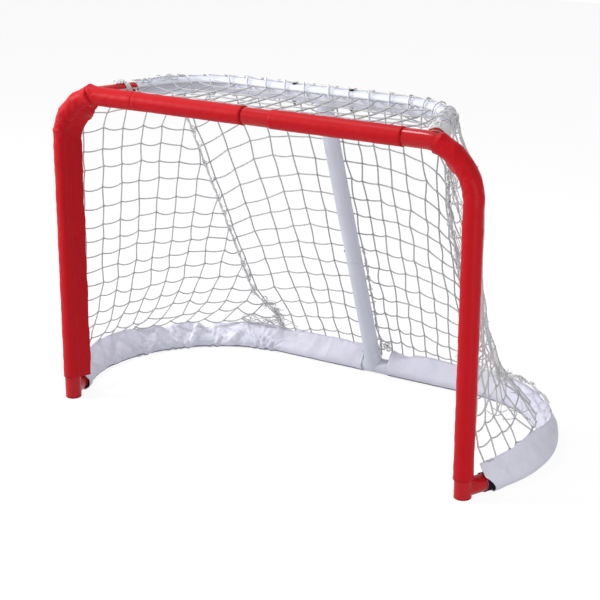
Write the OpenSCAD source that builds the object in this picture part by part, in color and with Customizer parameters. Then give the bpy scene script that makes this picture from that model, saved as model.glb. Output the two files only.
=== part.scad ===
// Street-hockey goal: a bolted tube frame with a knotted cord net, fabric sleeves and a fabric skirt.
// Millimetres, +Z up, +X to the right along the crossbar, the mouth opens to -Y.
// The geometry is laid out with Y = 0 on the goal line and is then centred on the origin.

/* [Goal mouth] */
// Width over the outsides of the two posts
overall_w = 1270; // [1150:10:1500]
// Height of the crossbar's top above the floor
overall_h = 889; // [800:1:1000]
// Bend radius of the two top corners, on the tube's axis
corner_r = 130; // [110:5:180]

/* [Tubes] */
// Outside diameter of every frame tube
tube_d = 44.5; // [40:0.5:50]
// Wall of every frame tube
tube_wall = 1.5; // [1.2:0.1:2.5]
// Radial clearance between a tube and the spigot inside it
spigot_fit = 0.3; // [0.2:0.05:0.5]
// Length of every plug-in spigot
spigot_len = 50; // [35:1:60]
// Open seam where two tubes butt
seam = 0.5; // [0.3:0.1:1]
// Height of the rounded foot caps below the posts
cap_h = 6; // [4:0.5:12]
// Length of the plug of a foot cap inside the post
cap_plug = 22; // [12:1:40]

/* [Base] */
// Distance from the goal line to the axis of the rear base tube
base_depth = 631; // [571:4:699]
// Angle at which the base stubs splay out from straight back
splay = 22; // [16:1:27]
// Length of the red base stub from the post's axis to its seam
base_stub = 62; // [50:1:75]
// Straight run of the base from the post's axis to its first bend
base_straight = 134; // [125:1:150]
// Bend radius where the base turns straight back
splay_r = 300; // [240:10:330]
// Straight run between that bend and the rear corner
side_run = 20; // [10:5:60]

/* [Shelf] */
// Distance from the goal line to the axis of the rear shelf tube
shelf_depth = 332; // [300:4:380]
// Distance from the centre to the axis of a shelf stub, on the crossbar
shelf_x = 505; // [470:5:520]
// Angle at which the shelf stubs lean in from straight back
shelf_lean = 20; // [12:1:26]
// Length of the red shelf stub from the crossbar's axis to its seam
shelf_stub = 130; // [90:1:140]
// Bend radius of the two rear corners of the shelf
shelf_r = 200; // [150:5:210]

/* [Centre pieces] */
// Half of the visible length of each centre tee
tee_half = 60; // [45:1:75]
// Wall of the upright's socket on the base tee
socket_wall = 3; // [2:0.5:5]
// Height of the socket above the base tube
socket_h = 36; // [25:1:50]
// Radial clearance of the upright in its socket
socket_fit = 0.3; // [0.2:0.05:0.6]
// Length of the short neck under the shelf tee
neck_h = 12; // [6:1:25]
// Share of the upright's run that the lower tube takes
upright_split = 0.42; // [0.3:0.01:0.6]

/* [Fasteners] */
// Shank diameter of the bolts and screws
bolt_d = 6; // [4:0.5:8]
// Head diameter of the bolts and screws
bolt_head_d = 12; // [10:0.5:16]
// Head height of the bolts and screws
bolt_head_h = 4; // [2.5:0.5:6]
// Radial clearance of a shank in its hole
bolt_fit = 0.3; // [0.2:0.05:0.6]
// Distance from the centre to each shelf bolt
shelf_bolt_x = 88; // [75:1:95]
// Distance of every other screw from the tube end that it pins
screw_inset = 25; // [15:1:30]
// Length of a screw's shank below its head
screw_len = 12; // [8:1:18]

/* [Sleeves] */
// Thickness of the sleeve fabric
sleeve_t = 1; // [0.8:0.1:2]
// Air between the sleeves and the tube
sleeve_gap = 0.4; // [0.3:0.1:1]
// How far a post sleeve stands out beyond the tube at its closing seam
sleeve_fin = 28; // [14:1:32]
// Height of the left sleeve's lower edge
left_hem_z = 63; // [55:1:120]
// Height of the right sleeve's lower edge
right_hem_z = 50; // [50:1:120]
// Distance from the centre to the end of the left post sleeve on the crossbar
left_corner_end = 359; // [300:1:440]
// Distance from the centre to the end of the right post sleeve on the crossbar
right_corner_end = 515; // [490:1:540]
// Distance from the centre to the inner end of the left crossbar sleeve
left_bar_from = 20; // [20:1:80]
// Gap between the left crossbar sleeve and the left post sleeve
sleeve_break = 1; // [0.5:0.5:10]
// Distance from the centre to the inner end of the right crossbar sleeve
right_bar_from = 62; // [20:1:80]
// Distance from the centre to the outer end of the right crossbar sleeve
right_bar_to = 429; // [300:1:440]

/* [Skirt] */
// Thickness of the skirt fabric
skirt_t = 1.2; // [0.8:0.1:2]
// Air between the skirt and the base tube, taken up where the bends are faceted
skirt_gap = 1; // [1:0.1:2]
// Height of the skirt's upper edge above the floor
skirt_h = 84; // [75:1:110]
// Height of the skirt's upper edge at its open front end
skirt_front_h = 66; // [60:1:75]
// Depth of the puckers in the skirt's inner side
pucker = 4; // [0:0.5:6]
// Distance between the puckers
pucker_pitch = 84; // [60:2:140]
// Room between the skirt's inner flap and the nets, which lean in more at the rear corners
lip_slack = 4; // [4:0.5:8]
// Gap between the two skirts at the upright
skirt_opening = 84; // [70:1:110]

/* [Net] */
// Thickness of the net's cord
cord = 4; // [3:0.5:5]
// Mesh of the top net
mesh = 55; // [45:1:80]
// Number of meshes from front to back in a side net
side_cols = 6; // [4:1:7]
// Number of meshes across the back net
back_cols = 12; // [8:1:14]
// How far the nets' first row lies above the skirt
above_skirt = 12; // [8:1:20]
// Number of meshes from bottom to top in the side and back nets
net_rows = 10; // [6:1:11]
// Distance along the shelf's rear bend from its start to the seam of a side net and the back net
seam_high = 47; // [20:1:120]
// Distance along the base's rear bend from that seam to the bend's end
seam_low = 17; // [5:1:60]
// How far the seam stands out of line above the skirt
seam_bow = 40; // [0:2:50]
// How quickly the side nets fall back from the base's outline above the skirt
slack = 5.8; // [0:0.2:8]
// Height of the net's lower edge above the base tube's axis
net_low = 28; // [26:1:40]
// Height of the net's upper edge above the shelf tube's axis
net_high = 12; // [8:1:14]
// Height of the top net above the shelf tube's axis
top_net_z = 10; // [6:1:12]
// Air between the cords and what they lie on
cord_gap = 0.5; // [0.4:0.1:0.8]
// Diameter of the border rope and of the seam cords
rope_d = 5; // [4:0.5:6]
// Where the border rope lies round the shelf tube, from straight back
rope_angle = 58; // [55:1:75]

// Extra room between a side net and the corner tie that it passes
tie_room = 4.5; // [4:0.5:8]
// Length over which that room fades out
tie_fade = 40; // [20:1:60]

/* [Lacing] */
// Distance along the tube from one turn of the lacing to the next
lace_pitch = 50; // [40:1:60]
// Turns of the lacing on each side of the upright
lace_turns = 4; // [2:1:4]
// Distance from the centre to the first turn
lace_from = 38; // [36:1:50]
// Turns of a corner tie
tie_turns = 3; // [2:1:4]
// Distance along the stub from one turn of a corner tie to the next
tie_pitch = 5.5; // [5.2:0.1:7]
// Distance along the stub from the crossbar's axis to a corner tie
tie_from = 97; // [95:1:100]

/* [Hidden] */
$fn = 64;

frame_red = "crimson";
tube_white = "whitesmoke";
sleeve_red = "red";
skirt_white = "lavender";
cord_white = "white";
bolt_black = "dimgray";

// Tube radii
tube_r = tube_d / 2;
bore_d = tube_d - 2 * tube_wall;
spigot_d = bore_d - 2 * spigot_fit;
spigot_bore_d = spigot_d - 2 * tube_wall;
swage = 6;              // length of the step where a tube narrows to its spigot
past = 1;               // how far a cutter runs past the face that it cuts
bend_draw = 0.2;        // how much a bend draws the tube's diameters in
tuck = 0.5;             // how far a straight reaches into the bend beside it
weld_bite = tube_wall / 2;

// Heights and plan positions of the tube axes
base_z = tube_r + skirt_gap + skirt_t;
bar_z = overall_h - tube_r;
post_x = overall_w / 2 - tube_r;

// Plan of the base and the shelf: each step is [bend radius, angle], or [0, length] for a straight
splay_x = post_x + base_straight * sin(splay) + splay_r * (1 - cos(splay));
// The rear corners take what the straight runs and the first bend leave of the depth
rear_r = base_depth - side_run - base_straight * cos(splay) - splay_r * sin(splay);
rear_half = splay_x - rear_r;
base_start = [post_x, 0];
base_heading = 90 - splay;
base_plan = [[0, base_straight], [splay_r, splay], [0, side_run], [rear_r, 90], [0, rear_half]];

shelf_straight = (shelf_depth - shelf_r * (1 - sin(shelf_lean))) / cos(shelf_lean);
shelf_half = shelf_x - shelf_straight * sin(shelf_lean) - shelf_r * cos(shelf_lean);
shelf_start = [shelf_x, 0];
shelf_heading = 90 + shelf_lean;
shelf_plan = [[0, shelf_straight], [shelf_r, 90 - shelf_lean], [0, shelf_half]];

// The upright leans from the base tee to the shelf tee
rise = bar_z - base_z;
run_in = base_depth - shelf_depth;
lean = atan2(run_in, rise);
upright_len = norm([rise, run_in]);

// Lines that the net keeps beside the tubes
net_off = tube_r + cord_gap + cord / 2;
net_low_o = -net_low * tan(lean) + net_off / cos(lean);
net_high_o = -net_high * tan(lean) + net_off / cos(lean);
sleeve_in = tube_r + sleeve_gap;
sleeve_out = sleeve_in + sleeve_t;
skirt_in = tube_r + skirt_gap;
skirt_net_in = net_off + cord / 2 + cord_gap;

// The origin lies under the middle of the goal's depth
front_y = -sleeve_out;
skirt_step = 30;
rear_y = base_depth + (skirt_net_in + skirt_t);
mid_y = (front_y + rear_y) / 2;

// ---- paths -------------------------------------------------------------------------------------

function step_len(g) = g[0] == 0 ? g[1] : g[0] * g[1] * PI / 180;
function plan_len(plan, n) = n == 0 ? 0 : step_len(plan[n - 1]) + plan_len(plan, n - 1);
function step_end(g, p, h, s) = g[0] == 0
    ? [p[0] + s * cos(h), p[1] + s * sin(h), h]
    : let (t = h + s / g[0] * 180 / PI)
      [p[0] + g[0] * (sin(t) - sin(h)), p[1] + g[0] * (cos(h) - cos(t)), t];
// Point and heading at the distance s along a plan
function walk(plan, p, h, s, i = 0) =
    let (l = step_len(plan[i]))
    (s <= l || i == len(plan) - 1)
        ? step_end(plan[i], p, h, s)
        : let (e = step_end(plan[i], p, h, l)) walk(plan, [e[0], e[1]], e[2], s - l, i + 1);
// Point beside a plan: o outward from the tube's axis, z above the floor
function beside(w, o, z) = [w[0] + o * sin(w[2]), w[1] - o * cos(w[2]), z];
function base_at(s, o, z) = beside(walk(base_plan, base_start, base_heading, s), o, z);
function shelf_at(s, o, z) = beside(walk(shelf_plan, shelf_start, shelf_heading, s), o, z);

function lengthened(plan, a, b) = [for (i = [0:len(plan) - 1])
    [plan[i][0], plan[i][1] + (i == 0 ? a : 0) + (i == len(plan) - 1 ? b : 0)]];
function shortened(plan, a, b) = lengthened(plan, -a, -b);

// A round bar of diameter d along a plan, from the origin towards +Y, bends to the left
module bar(plan, d, i = 0) {
    g = plan[i];
    last = i == len(plan) - 1;
    if (g[0] == 0) {
        before = i == 0 ? 0 : tuck;
        after = last ? 0 : tuck;
        translate([0, -before, 0]) rotate([-90, 0, 0]) cylinder(d = d, h = before + g[1] + after);
        if (!last) translate([0, g[1], 0]) bar(plan, d, i + 1);
    } else {
        translate([-g[0], 0, 0]) {
            rotate_extrude(angle = g[1]) translate([g[0], 0]) circle(d = d - bend_draw);
            if (!last) rotate([0, 0, g[1]]) translate([g[0], 0, 0]) bar(plan, d, i + 1);
        }
    }
}

// A tube along a plan, open at both ends
module pipe(plan, d = tube_d, bore = bore_d) {
    difference() {
        bar(plan, d);
        translate([0, -past, 0]) bar(lengthened(plan, past, past), bore);
    }
}

module on_base(s = 0) translate([post_x, 0, base_z]) rotate([0, 0, -splay]) translate([0, s, 0]) children();
module on_shelf(s = 0)
    translate([shelf_x, 0, bar_z]) rotate([0, 0, shelf_lean]) translate([0, s, 0]) children();
// The upright's own axis as +Z, from the base tee up
module on_upright(s = 0)
    translate([0, base_depth, base_z]) rotate([lean, 0, 0]) translate([0, 0, s]) children();
module centred() translate([0, -mid_y, 0]) children();
module left() mirror([1, 0, 0]) children();

// ---- frame -------------------------------------------------------------------------------------

post_plan = [[0, bar_z - corner_r - cap_h], [corner_r, 90], [0, post_x - corner_r - seam / 2]];
module on_post() translate([post_x, 0, cap_h]) rotate([90, 0, 0]) children();

// A stub with a narrowed end, along +Y, cut to sit on the tube that carries it
module stub_outside(l) {
    rotate([-90, 0, 0]) cylinder(d = tube_d, h = l);
    rotate([-90, 0, 0]) cylinder(d = spigot_d, h = l + spigot_len);
}
module stub_inside(l) {
    rotate([-90, 0, 0]) cylinder(d = bore_d, h = l - swage);
    rotate([-90, 0, 0]) cylinder(d = spigot_bore_d, h = l + spigot_len + past);
}
module screw_hole() translate([0, 0, -screw_len]) cylinder(d = bolt_d + 2 * bolt_fit, h = 2 * screw_len);

module frame_tube() {
    difference() {
        union() {
            on_post() pipe(post_plan);
            difference() {
                on_base() difference() { stub_outside(base_stub); stub_inside(base_stub); }
                translate([post_x, 0, 0]) cylinder(r = tube_r - weld_bite, h = bar_z);
            }
            difference() {
                on_shelf() difference() { stub_outside(shelf_stub); stub_inside(shelf_stub); }
                translate([0, 0, bar_z]) rotate([0, 90, 0]) cylinder(r = tube_r - weld_bite, h = post_x);
            }
        }
        on_base(base_stub + screw_inset) translate([0, 0, tube_r]) screw_hole();
        on_shelf(shelf_stub + screw_inset) translate([0, 0, -tube_r]) screw_hole();
        translate([rivet_x, 0, bar_z]) rotate([-90, 0, 0]) cylinder(d = bolt_d + 2 * bolt_fit, h = tube_d);
    }
}
module left_frame_tube() color(frame_red) centred() left() frame_tube();
module right_frame_tube() color(frame_red) centred() frame_tube();

// Inner tube across the middle of the crossbar, with flush rivets from behind
rivet_x = spigot_len - screw_inset;
module crossbar_joiner() color(tube_white) centred() difference() {
    translate([-spigot_len, 0, bar_z]) rotate([0, 90, 0]) difference() {
        cylinder(d = spigot_d, h = 2 * spigot_len);
        translate([0, 0, -past]) cylinder(d = spigot_bore_d, h = 2 * spigot_len + 2 * past);
    }
    for (s = [-1, 1]) translate([s * rivet_x, 0, bar_z]) rotate([-90, 0, 0])
        cylinder(d = bolt_d + 2 * bolt_fit, h = tube_d);
}
module crossbar_rivets() color(bolt_black) centred()
    for (s = [-1, 1]) translate([s * rivet_x, spigot_bore_d / 2 - 2 * tube_wall, bar_z]) rotate([-90, 0, 0])
        cylinder(d = bolt_d, h = tube_r - spigot_bore_d / 2 + 2 * tube_wall - bolt_fit);

// Rounded cap with a plug inside the post
cap_round = cap_h * 0.6;
module foot_cap() {
    rotate_extrude() {
        translate([0, cap_round]) square([tube_r, cap_h - cap_round]);
        square([tube_r - cap_round, cap_h]);
        translate([tube_r - cap_round, cap_round]) intersection() {
            circle(r = cap_round);
            translate([0, -cap_round]) square(cap_round);
        }
        translate([0, cap_h - past]) square([bore_d / 2 - spigot_fit, cap_plug + past]);
    }
}
module left_foot_cap() color(frame_red) centred() left() translate([post_x, 0, 0]) foot_cap();
module right_foot_cap() color(frame_red) centred() translate([post_x, 0, 0]) foot_cap();

// ---- base and shelf tubes ----------------------------------------------------------------------

module base_tube() difference() {
    on_base(base_stub + seam) pipe(shortened(base_plan, base_stub + seam, tee_half + seam));
    on_base(base_stub + screw_inset) translate([0, 0, tube_r]) screw_hole();
    translate([tee_half + screw_inset, base_depth, base_z + tube_r]) screw_hole();
}
module left_base_tube() color(tube_white) centred() left() base_tube();
module right_base_tube() color(tube_white) centred() base_tube();

module shelf_tube() difference() {
    on_shelf(shelf_stub + seam) pipe(shortened(shelf_plan, shelf_stub + seam, tee_half + seam));
    on_shelf(shelf_stub + screw_inset) translate([0, 0, -tube_r]) screw_hole();
    translate([shelf_bolt_x, shelf_depth, bar_z - tube_d]) cylinder(d = bolt_d + 2 * bolt_fit, h = 2 * tube_d);
}
module left_shelf_tube() color(tube_white) centred() left() shelf_tube();
module right_shelf_tube() color(tube_white) centred() shelf_tube();

// Straight centre piece with a spigot at each end, along X
module tee_run() difference() {
    rotate([0, 90, 0]) {
        cylinder(d = tube_d, h = 2 * tee_half, center = true);
        cylinder(d = spigot_d, h = 2 * (tee_half + spigot_len), center = true);
    }
    rotate([0, 90, 0]) {
        cylinder(d = bore_d, h = 2 * (tee_half - swage), center = true);
        cylinder(d = spigot_bore_d, h = 2 * (tee_half + spigot_len + past), center = true);
    }
}

// The upright is pinned from its left side
module upright_hole() rotate([0, -90, 0]) cylinder(d = bolt_d + 2 * bolt_fit, h = tube_d);
socket_top = tube_r + socket_h;
socket_floor = tube_r + 2;
module base_tee() color(tube_white) centred() difference() {
    union() {
        translate([0, base_depth, base_z]) tee_run();
        difference() {
            on_upright() cylinder(d = tube_d + 2 * (socket_fit + socket_wall), h = socket_top);
            translate([0, base_depth, base_z]) rotate([0, 90, 0])
                cylinder(r = tube_r - weld_bite, h = 2 * tube_d, center = true);
        }
    }
    on_upright(socket_floor) cylinder(d = tube_d + 2 * socket_fit, h = socket_h);
    on_upright(socket_top - screw_inset / 2) upright_hole();
    for (s = [-1, 1]) translate([s * (tee_half + screw_inset), base_depth, base_z + tube_r]) screw_hole();
}

neck_end = upright_len - tube_r - neck_h;
module shelf_tee() color(tube_white) centred() difference() {
    union() {
        translate([0, shelf_depth, bar_z]) tee_run();
        difference() {
            union() {
                on_upright(neck_end) cylinder(d = tube_d, h = tube_r + neck_h);
                on_upright(neck_end - spigot_len) cylinder(d = spigot_d, h = tube_r + neck_h + spigot_len);
            }
            translate([0, shelf_depth, bar_z]) rotate([0, 90, 0])
                cylinder(r = tube_r - weld_bite, h = 2 * tube_d, center = true);
        }
    }
    on_upright(neck_end - spigot_len - past) cylinder(d = spigot_bore_d, h = spigot_len + neck_h);
    on_upright(neck_end - screw_inset) upright_hole();
    for (s = [-1, 1]) translate([s * shelf_bolt_x, shelf_depth, bar_z - tube_d])
        cylinder(d = bolt_d + 2 * bolt_fit, h = 2 * tube_d);
}

// ---- upright -----------------------------------------------------------------------------------

split_at = upright_len * upright_split;
upright_from = socket_floor + seam;
module upright_lower() color(tube_white) centred() difference() {
    union() {
        on_upright(upright_from) cylinder(d = tube_d, h = split_at - upright_from);
        on_upright(upright_from) cylinder(d = spigot_d, h = split_at - upright_from + spigot_len);
    }
    on_upright(upright_from - past) cylinder(d = bore_d, h = split_at - upright_from - swage + past);
    on_upright(upright_from - past) cylinder(d = spigot_bore_d, h = split_at + spigot_len);
    on_upright(socket_top - screw_inset / 2) upright_hole();
    on_upright(split_at + screw_inset) upright_hole();
}
module upright_upper() color(tube_white) centred() difference() {
    on_upright(split_at + seam) cylinder(d = tube_d, h = neck_end - split_at - 2 * seam);
    on_upright(split_at - past) cylinder(d = bore_d, h = neck_end - split_at + 2 * past);
    on_upright(split_at + screw_inset) upright_hole();
    on_upright(neck_end - screw_inset) upright_hole();
}

// ---- fasteners ---------------------------------------------------------------------------------

// Pan head on the surface at z = 0, shank below it
module bolt(l) {
    rotate_extrude() {
        square([bolt_head_d / 2, bolt_head_h / 2]);
        square([bolt_head_d / 2 - bolt_head_h / 2, bolt_head_h]);
        translate([bolt_head_d / 2 - bolt_head_h / 2, bolt_head_h / 2]) intersection() {
            circle(r = bolt_head_h / 2);
            square(bolt_head_h / 2);
        }
        translate([0, -l]) square([bolt_d / 2, l + bolt_head_h / 2]);
    }
}
washer_t = 1.2;
nut_d = 1.9 * bolt_d;   // across the corners
nut_h = 0.85 * bolt_d;
nut_z = -tube_r - washer_t - nut_h;
thread_past_nut = 0.55 * bolt_d;
module shelf_bolts() color(bolt_black) centred() for (s = [-1, 1])
    translate([s * shelf_bolt_x, shelf_depth, bar_z + tube_r])
        bolt(tube_d + washer_t + nut_h + thread_past_nut);
module shelf_nuts() color(bolt_black) centred() for (s = [-1, 1])
    translate([s * shelf_bolt_x, shelf_depth, bar_z]) difference() {
        union() {
            translate([0, 0, nut_z]) cylinder(d = nut_d, h = nut_h, $fn = 6);
            translate([0, 0, -tube_r - washer_t]) cylinder(d = bolt_head_d, h = washer_t);
        }
        translate([0, 0, -tube_d]) cylinder(d = bolt_d + bolt_fit, h = tube_d);
    }
module base_screws() color(bolt_black) centred() for (side = [0, 1]) mirror([side, 0, 0]) {
    on_base(base_stub + screw_inset) translate([0, 0, tube_r]) bolt(screw_len);
    translate([tee_half + screw_inset, base_depth, base_z + tube_r]) bolt(screw_len);
}
module shelf_screws() color(bolt_black) centred() for (side = [0, 1]) mirror([side, 0, 0])
    on_shelf(shelf_stub + screw_inset) translate([0, 0, -tube_r]) mirror([0, 0, 1]) bolt(screw_len);
module upright_screws() color(bolt_black) centred() {
    on_upright(socket_top - screw_inset / 2) rotate([0, -90, 0])
        translate([0, 0, tube_r + socket_fit + socket_wall]) bolt(screw_len);
    for (s = [split_at, neck_end - 2 * screw_inset]) on_upright(s + screw_inset) rotate([0, -90, 0])
        translate([0, 0, tube_r]) bolt(screw_len);
}

// ---- sleeves -----------------------------------------------------------------------------------

// Section of what a post sleeve adds to its round: the two layers drawn out to the closing seam on +X
fin_tip = tube_r + sleeve_fin;
module fin(r, tip, half_t) {
    a = acos(r / tip);
    root = r - sleeve_t / 2;
    polygon([[root * cos(a), root * sin(a)], [root * cos(a), -root * sin(a)], [tip, -half_t], [tip, half_t]]);
}
module sleeve_ring() difference() {
    circle(r = sleeve_out);
    circle(r = sleeve_in);
}
// Post sleeve of the right side, from the hem up, round the corner and along the crossbar
module post_sleeve(hem_z, corner_end) {
    rise = bar_z - corner_r - hem_z;
    fin_h = rise - tuck;
    corner_x = post_x - corner_r;
    // A short sleeve ends in the bend, and a long one on the crossbar
    plan = corner_end > corner_x
        ? [[0, rise], [corner_r, acos((corner_end - corner_x) / corner_r)]]
        : [[0, rise], [corner_r, 90], [0, corner_x - corner_end]];
    difference() {
        union() {
            translate([post_x, 0, hem_z]) rotate([90, 0, 0]) bar(plan, 2 * sleeve_out);
            translate([post_x, 0, hem_z]) linear_extrude(fin_h)
                rotate(135) fin(sleeve_out, fin_tip, sleeve_t);
        }
        translate([post_x, 0, hem_z - past]) rotate([90, 0, 0])
            bar(lengthened(plan, past, past), 2 * sleeve_in);
        translate([post_x, 0, hem_z - past]) linear_extrude(fin_h + 2 * past)
            rotate(135) fin(sleeve_in, fin_tip - 2 * sleeve_t, sleeve_t / 4);
        on_shelf() rotate([-90, 0, 0]) cylinder(r = sleeve_out + past, h = tube_d);
        on_base() rotate([-90, 0, 0]) cylinder(r = sleeve_out + past, h = 2 * tube_d);
    }
}
module bar_sleeve(from, to)
    translate([from, 0, bar_z]) rotate([0, 90, 0]) linear_extrude(to - from) sleeve_ring();
module left_post_sleeve() color(sleeve_red) centred() left() post_sleeve(left_hem_z, left_corner_end);
module right_post_sleeve() color(sleeve_red) centred() post_sleeve(right_hem_z, right_corner_end);
module left_bar_sleeve() color(sleeve_red) centred() left() bar_sleeve(left_bar_from, left_corner_end - sleeve_break);
module right_bar_sleeve() color(sleeve_red) centred() bar_sleeve(right_bar_from, right_bar_to);

// ---- skirts ------------------------------------------------------------------------------------

// The skirt wraps the base tube and closes on the net above it. Its section is a list of points
// [o, z] beside the tube's axis, from the inner flap's edge, under the tube, to the outer flap's edge.
skirt_angles = [165:skirt_step:375];
function skirt_radius(a) = skirt_in + (skirt_net_in - skirt_in) * max(0, (a - 285) / 90);
function skirt_lip(top) = -top * tan(lean) + (net_off - cord / 2 - cord_gap) / cos(lean) - lip_slack;
function skirt_curve(top, sag, t) = concat(
    [[skirt_lip(top) - t, top],
     [skirt_lip(top) / 2 - skirt_in / 2 - sag - t, top * 0.5]],
    [for (a = skirt_angles) (skirt_radius(a) + t) / cos(skirt_step / 2) * [cos(a), sin(a)]],
    [[-top * tan(lean) + (skirt_net_in + t) / cos(lean), top]]);

first_bend = base_straight;
second_bend = plan_len(base_plan, 3);
rear_tangent = plan_len(base_plan, 4);
skirt_from = base_stub + 4;
skirt_to = plan_len(base_plan, 5) - skirt_opening / 2;
function spread(a, b, n) = [for (i = [0:n - 1]) a + (b - a) * i / n];
skirt_stops = concat(spread(skirt_from, first_bend, 2), spread(first_bend, plan_len(base_plan, 2), 4),
    [plan_len(base_plan, 2)], spread(second_bend, rear_tangent, 15),
    spread(rear_tangent, skirt_to, 6), [skirt_to]);
function ramp(s, a, b) = max(0, min(1, (s - a) / (b - a)));
function skirt_top(s) = skirt_front_h + (skirt_h - skirt_front_h) * ramp(s, skirt_from, plan_len(base_plan, 2))
    - pucker / 2 * (1 + cos(360 * s / pucker_pitch)) * ramp(s, skirt_from, first_bend) - base_z;
function skirt_sag(s) = pucker * sin(360 * s / pucker_pitch) * ramp(s, first_bend, second_bend)
    * (1 - ramp(s, rear_tangent, skirt_to));
module skirt() {
    rings = [for (s = skirt_stops)
        [for (t = [0, skirt_t]) for (q = skirt_curve(skirt_top(s), skirt_sag(s), t))
            base_at(s, q[0], base_z + q[1])]];
    n = len(rings[0]) / 2;
    m = len(rings);
    function at(j, k) = j * 2 * n + k;
    sides = [for (j = [0:m - 2]) for (k = [0:n - 2]) each [
        [at(j, k), at(j, k + 1), at(j + 1, k + 1)], [at(j, k), at(j + 1, k + 1), at(j + 1, k)],
        [at(j, n + k), at(j + 1, n + k + 1), at(j, n + k + 1)],
        [at(j, n + k), at(j + 1, n + k), at(j + 1, n + k + 1)]]];
    lips = [for (j = [0:m - 2]) each [
        [at(j, 0), at(j + 1, 0), at(j + 1, n)], [at(j, 0), at(j + 1, n), at(j, n)],
        [at(j, n - 1), at(j + 1, 2 * n - 1), at(j + 1, n - 1)],
        [at(j, n - 1), at(j, 2 * n - 1), at(j + 1, 2 * n - 1)]]];
    ends = [for (k = [0:n - 2]) each [
        [at(0, k), at(0, n + k), at(0, n + k + 1)], [at(0, k), at(0, n + k + 1), at(0, k + 1)],
        [at(m - 1, k), at(m - 1, n + k + 1), at(m - 1, n + k)],
        [at(m - 1, k), at(m - 1, k + 1), at(m - 1, n + k + 1)]]];
    polyhedron(points = [for (r = rings) each r], faces = concat(sides, lips, ends));
}
module left_skirt() color(skirt_white) centred() left() skirt();
module right_skirt() color(skirt_white) centred() skirt();

// ---- nets --------------------------------------------------------------------------------------

// Square holes of a flat net, n meshes each way from the middle column, rows upwards from row_from
module meshes(cols, rows, row_from) for (i = [-cols:cols - 1]) for (j = [0:rows - 1])
    translate([i * mesh + cord / 2, row_from + j * mesh + cord / 2]) square(mesh - cord);

// The side and back nets hang between the plans of the base and the shelf. Their rows are shared: the first
// lies just above the skirt, and the others divide what is left of the height evenly.
seam_off = rope_d / 2 + cord_gap;
seam_low_s = rear_tangent - seam_low;
seam_high_s = plan_len(shelf_plan, 1) + seam_high;
base_len = plan_len(base_plan, 5);
shelf_len = plan_len(shelf_plan, 3);
net_rise = bar_z + net_high - base_z - net_low;
first_row = (skirt_h + above_skirt - base_z - net_low) / net_rise;
function row_at(j) = j == 0 ? 0 : part(first_row, 1, (j - 1) / (net_rows - 1));
function part(a, b, t) = a + (b - a) * t;
// How far the seam stands out of the straight line between its ends, most at the second row
function bow(v) = seam_bow * min(ramp(v, first_row, row_at(2)), (1 - v) / (1 - row_at(2)));
// Share of the base's outline that a side net still follows
function follow(v) = (1 - v) / (1 + slack * max(0, v - first_row));
function low_point(s) = base_at(s, net_low_o, base_z + net_low);
// The net stands further off the shelf tube where it hangs more steeply than the upright, and beside the tie
function high_point(s) = let (
        t = 1 - ramp(s, seam_high_s, plan_len(shelf_plan, 2)),
        room = tie_room * (1 - ramp(s, side_high_from, side_high_from + tie_fade)))
    shelf_at(s, part(net_high_o, net_off, t) + room, bar_z + net_high);

// Back net: u runs from -1 at the left seam to 1 at the right one
function back_at(u, v) = let (
        w = abs(u),
        p = part(low_point(part(base_len, seam_low_s + seam_off, w)),
            high_point(part(shelf_len, seam_high_s + seam_off, w)), v))
    [sign(u) * (p[0] + bow(v) * pow(w, 4)), p[1], p[2]];
module net_back() color(cord_white) centred() woven(back_cols, "back");

// The top net fills the shelf, level, between the crossbar and the shelf tubes
top_side = -(sqrt(pow(tube_r, 2) - pow(top_net_z - cord / 2, 2)) + cord_gap);
top_front = sqrt(pow(sleeve_out, 2) - pow(top_net_z - cord / 2, 2)) + cord_gap;
function top_edge(e) = let (
        n = 10, bend_end = plan_len(shelf_plan, 2),
        corner_o = -(tie_r + cord + e),
        half = concat([shelf_at((top_front + e) / cos(shelf_lean) - corner_o * tan(shelf_lean), corner_o, 0)],
            [shelf_at(side_high_from + cord + e, corner_o, 0)],
            [for (i = [0:n]) shelf_at(shelf_straight + (bend_end - shelf_straight) * i / n, top_side - e, 0)]))
    concat([for (p = half) [p[0], p[1]]], [for (i = [len(half) - 1:-1:0]) [-half[i][0], half[i][1]]]);
top_rows = floor((shelf_depth + top_side - top_front) / mesh);
module net_top() color(cord_white) centred() translate([0, 0, bar_z + top_net_z])
    linear_extrude(cord, center = true) difference() {
        polygon(top_edge(0));
        intersection() {
            polygon(top_edge(cord));
            meshes(ceil(shelf_x / mesh), top_rows + 1, shelf_depth + top_side - cord / 2 - (top_rows + 1) * mesh);
        }
    }

// A side net spans four edges: the base, the shelf, the post with its corner, and the seam cord
function part_of(pts, t, i = 0) = let (l = norm(pts[i + 1] - pts[i]))
    (t <= l || i == len(pts) - 2) ? pts[i] + (pts[i + 1] - pts[i]) * t / l : part_of(pts, t - l, i + 1);
function chain_len(pts) = let (l = [for (i = [1:len(pts) - 1]) norm(pts[i] - pts[i - 1])])
    l * [for (x = l) 1];
side_low_from = base_stub + 6;
side_low_to = seam_low_s - seam_off;
side_high_from = tie_from + (tie_turns + 1.5) * tie_pitch + cord;
side_high_to = seam_high_s - seam_off;
function low_edge(u) = low_point(part(side_low_from, side_low_to, u));
function high_edge(u) = high_point(part(side_high_from, side_high_to, u));
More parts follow.
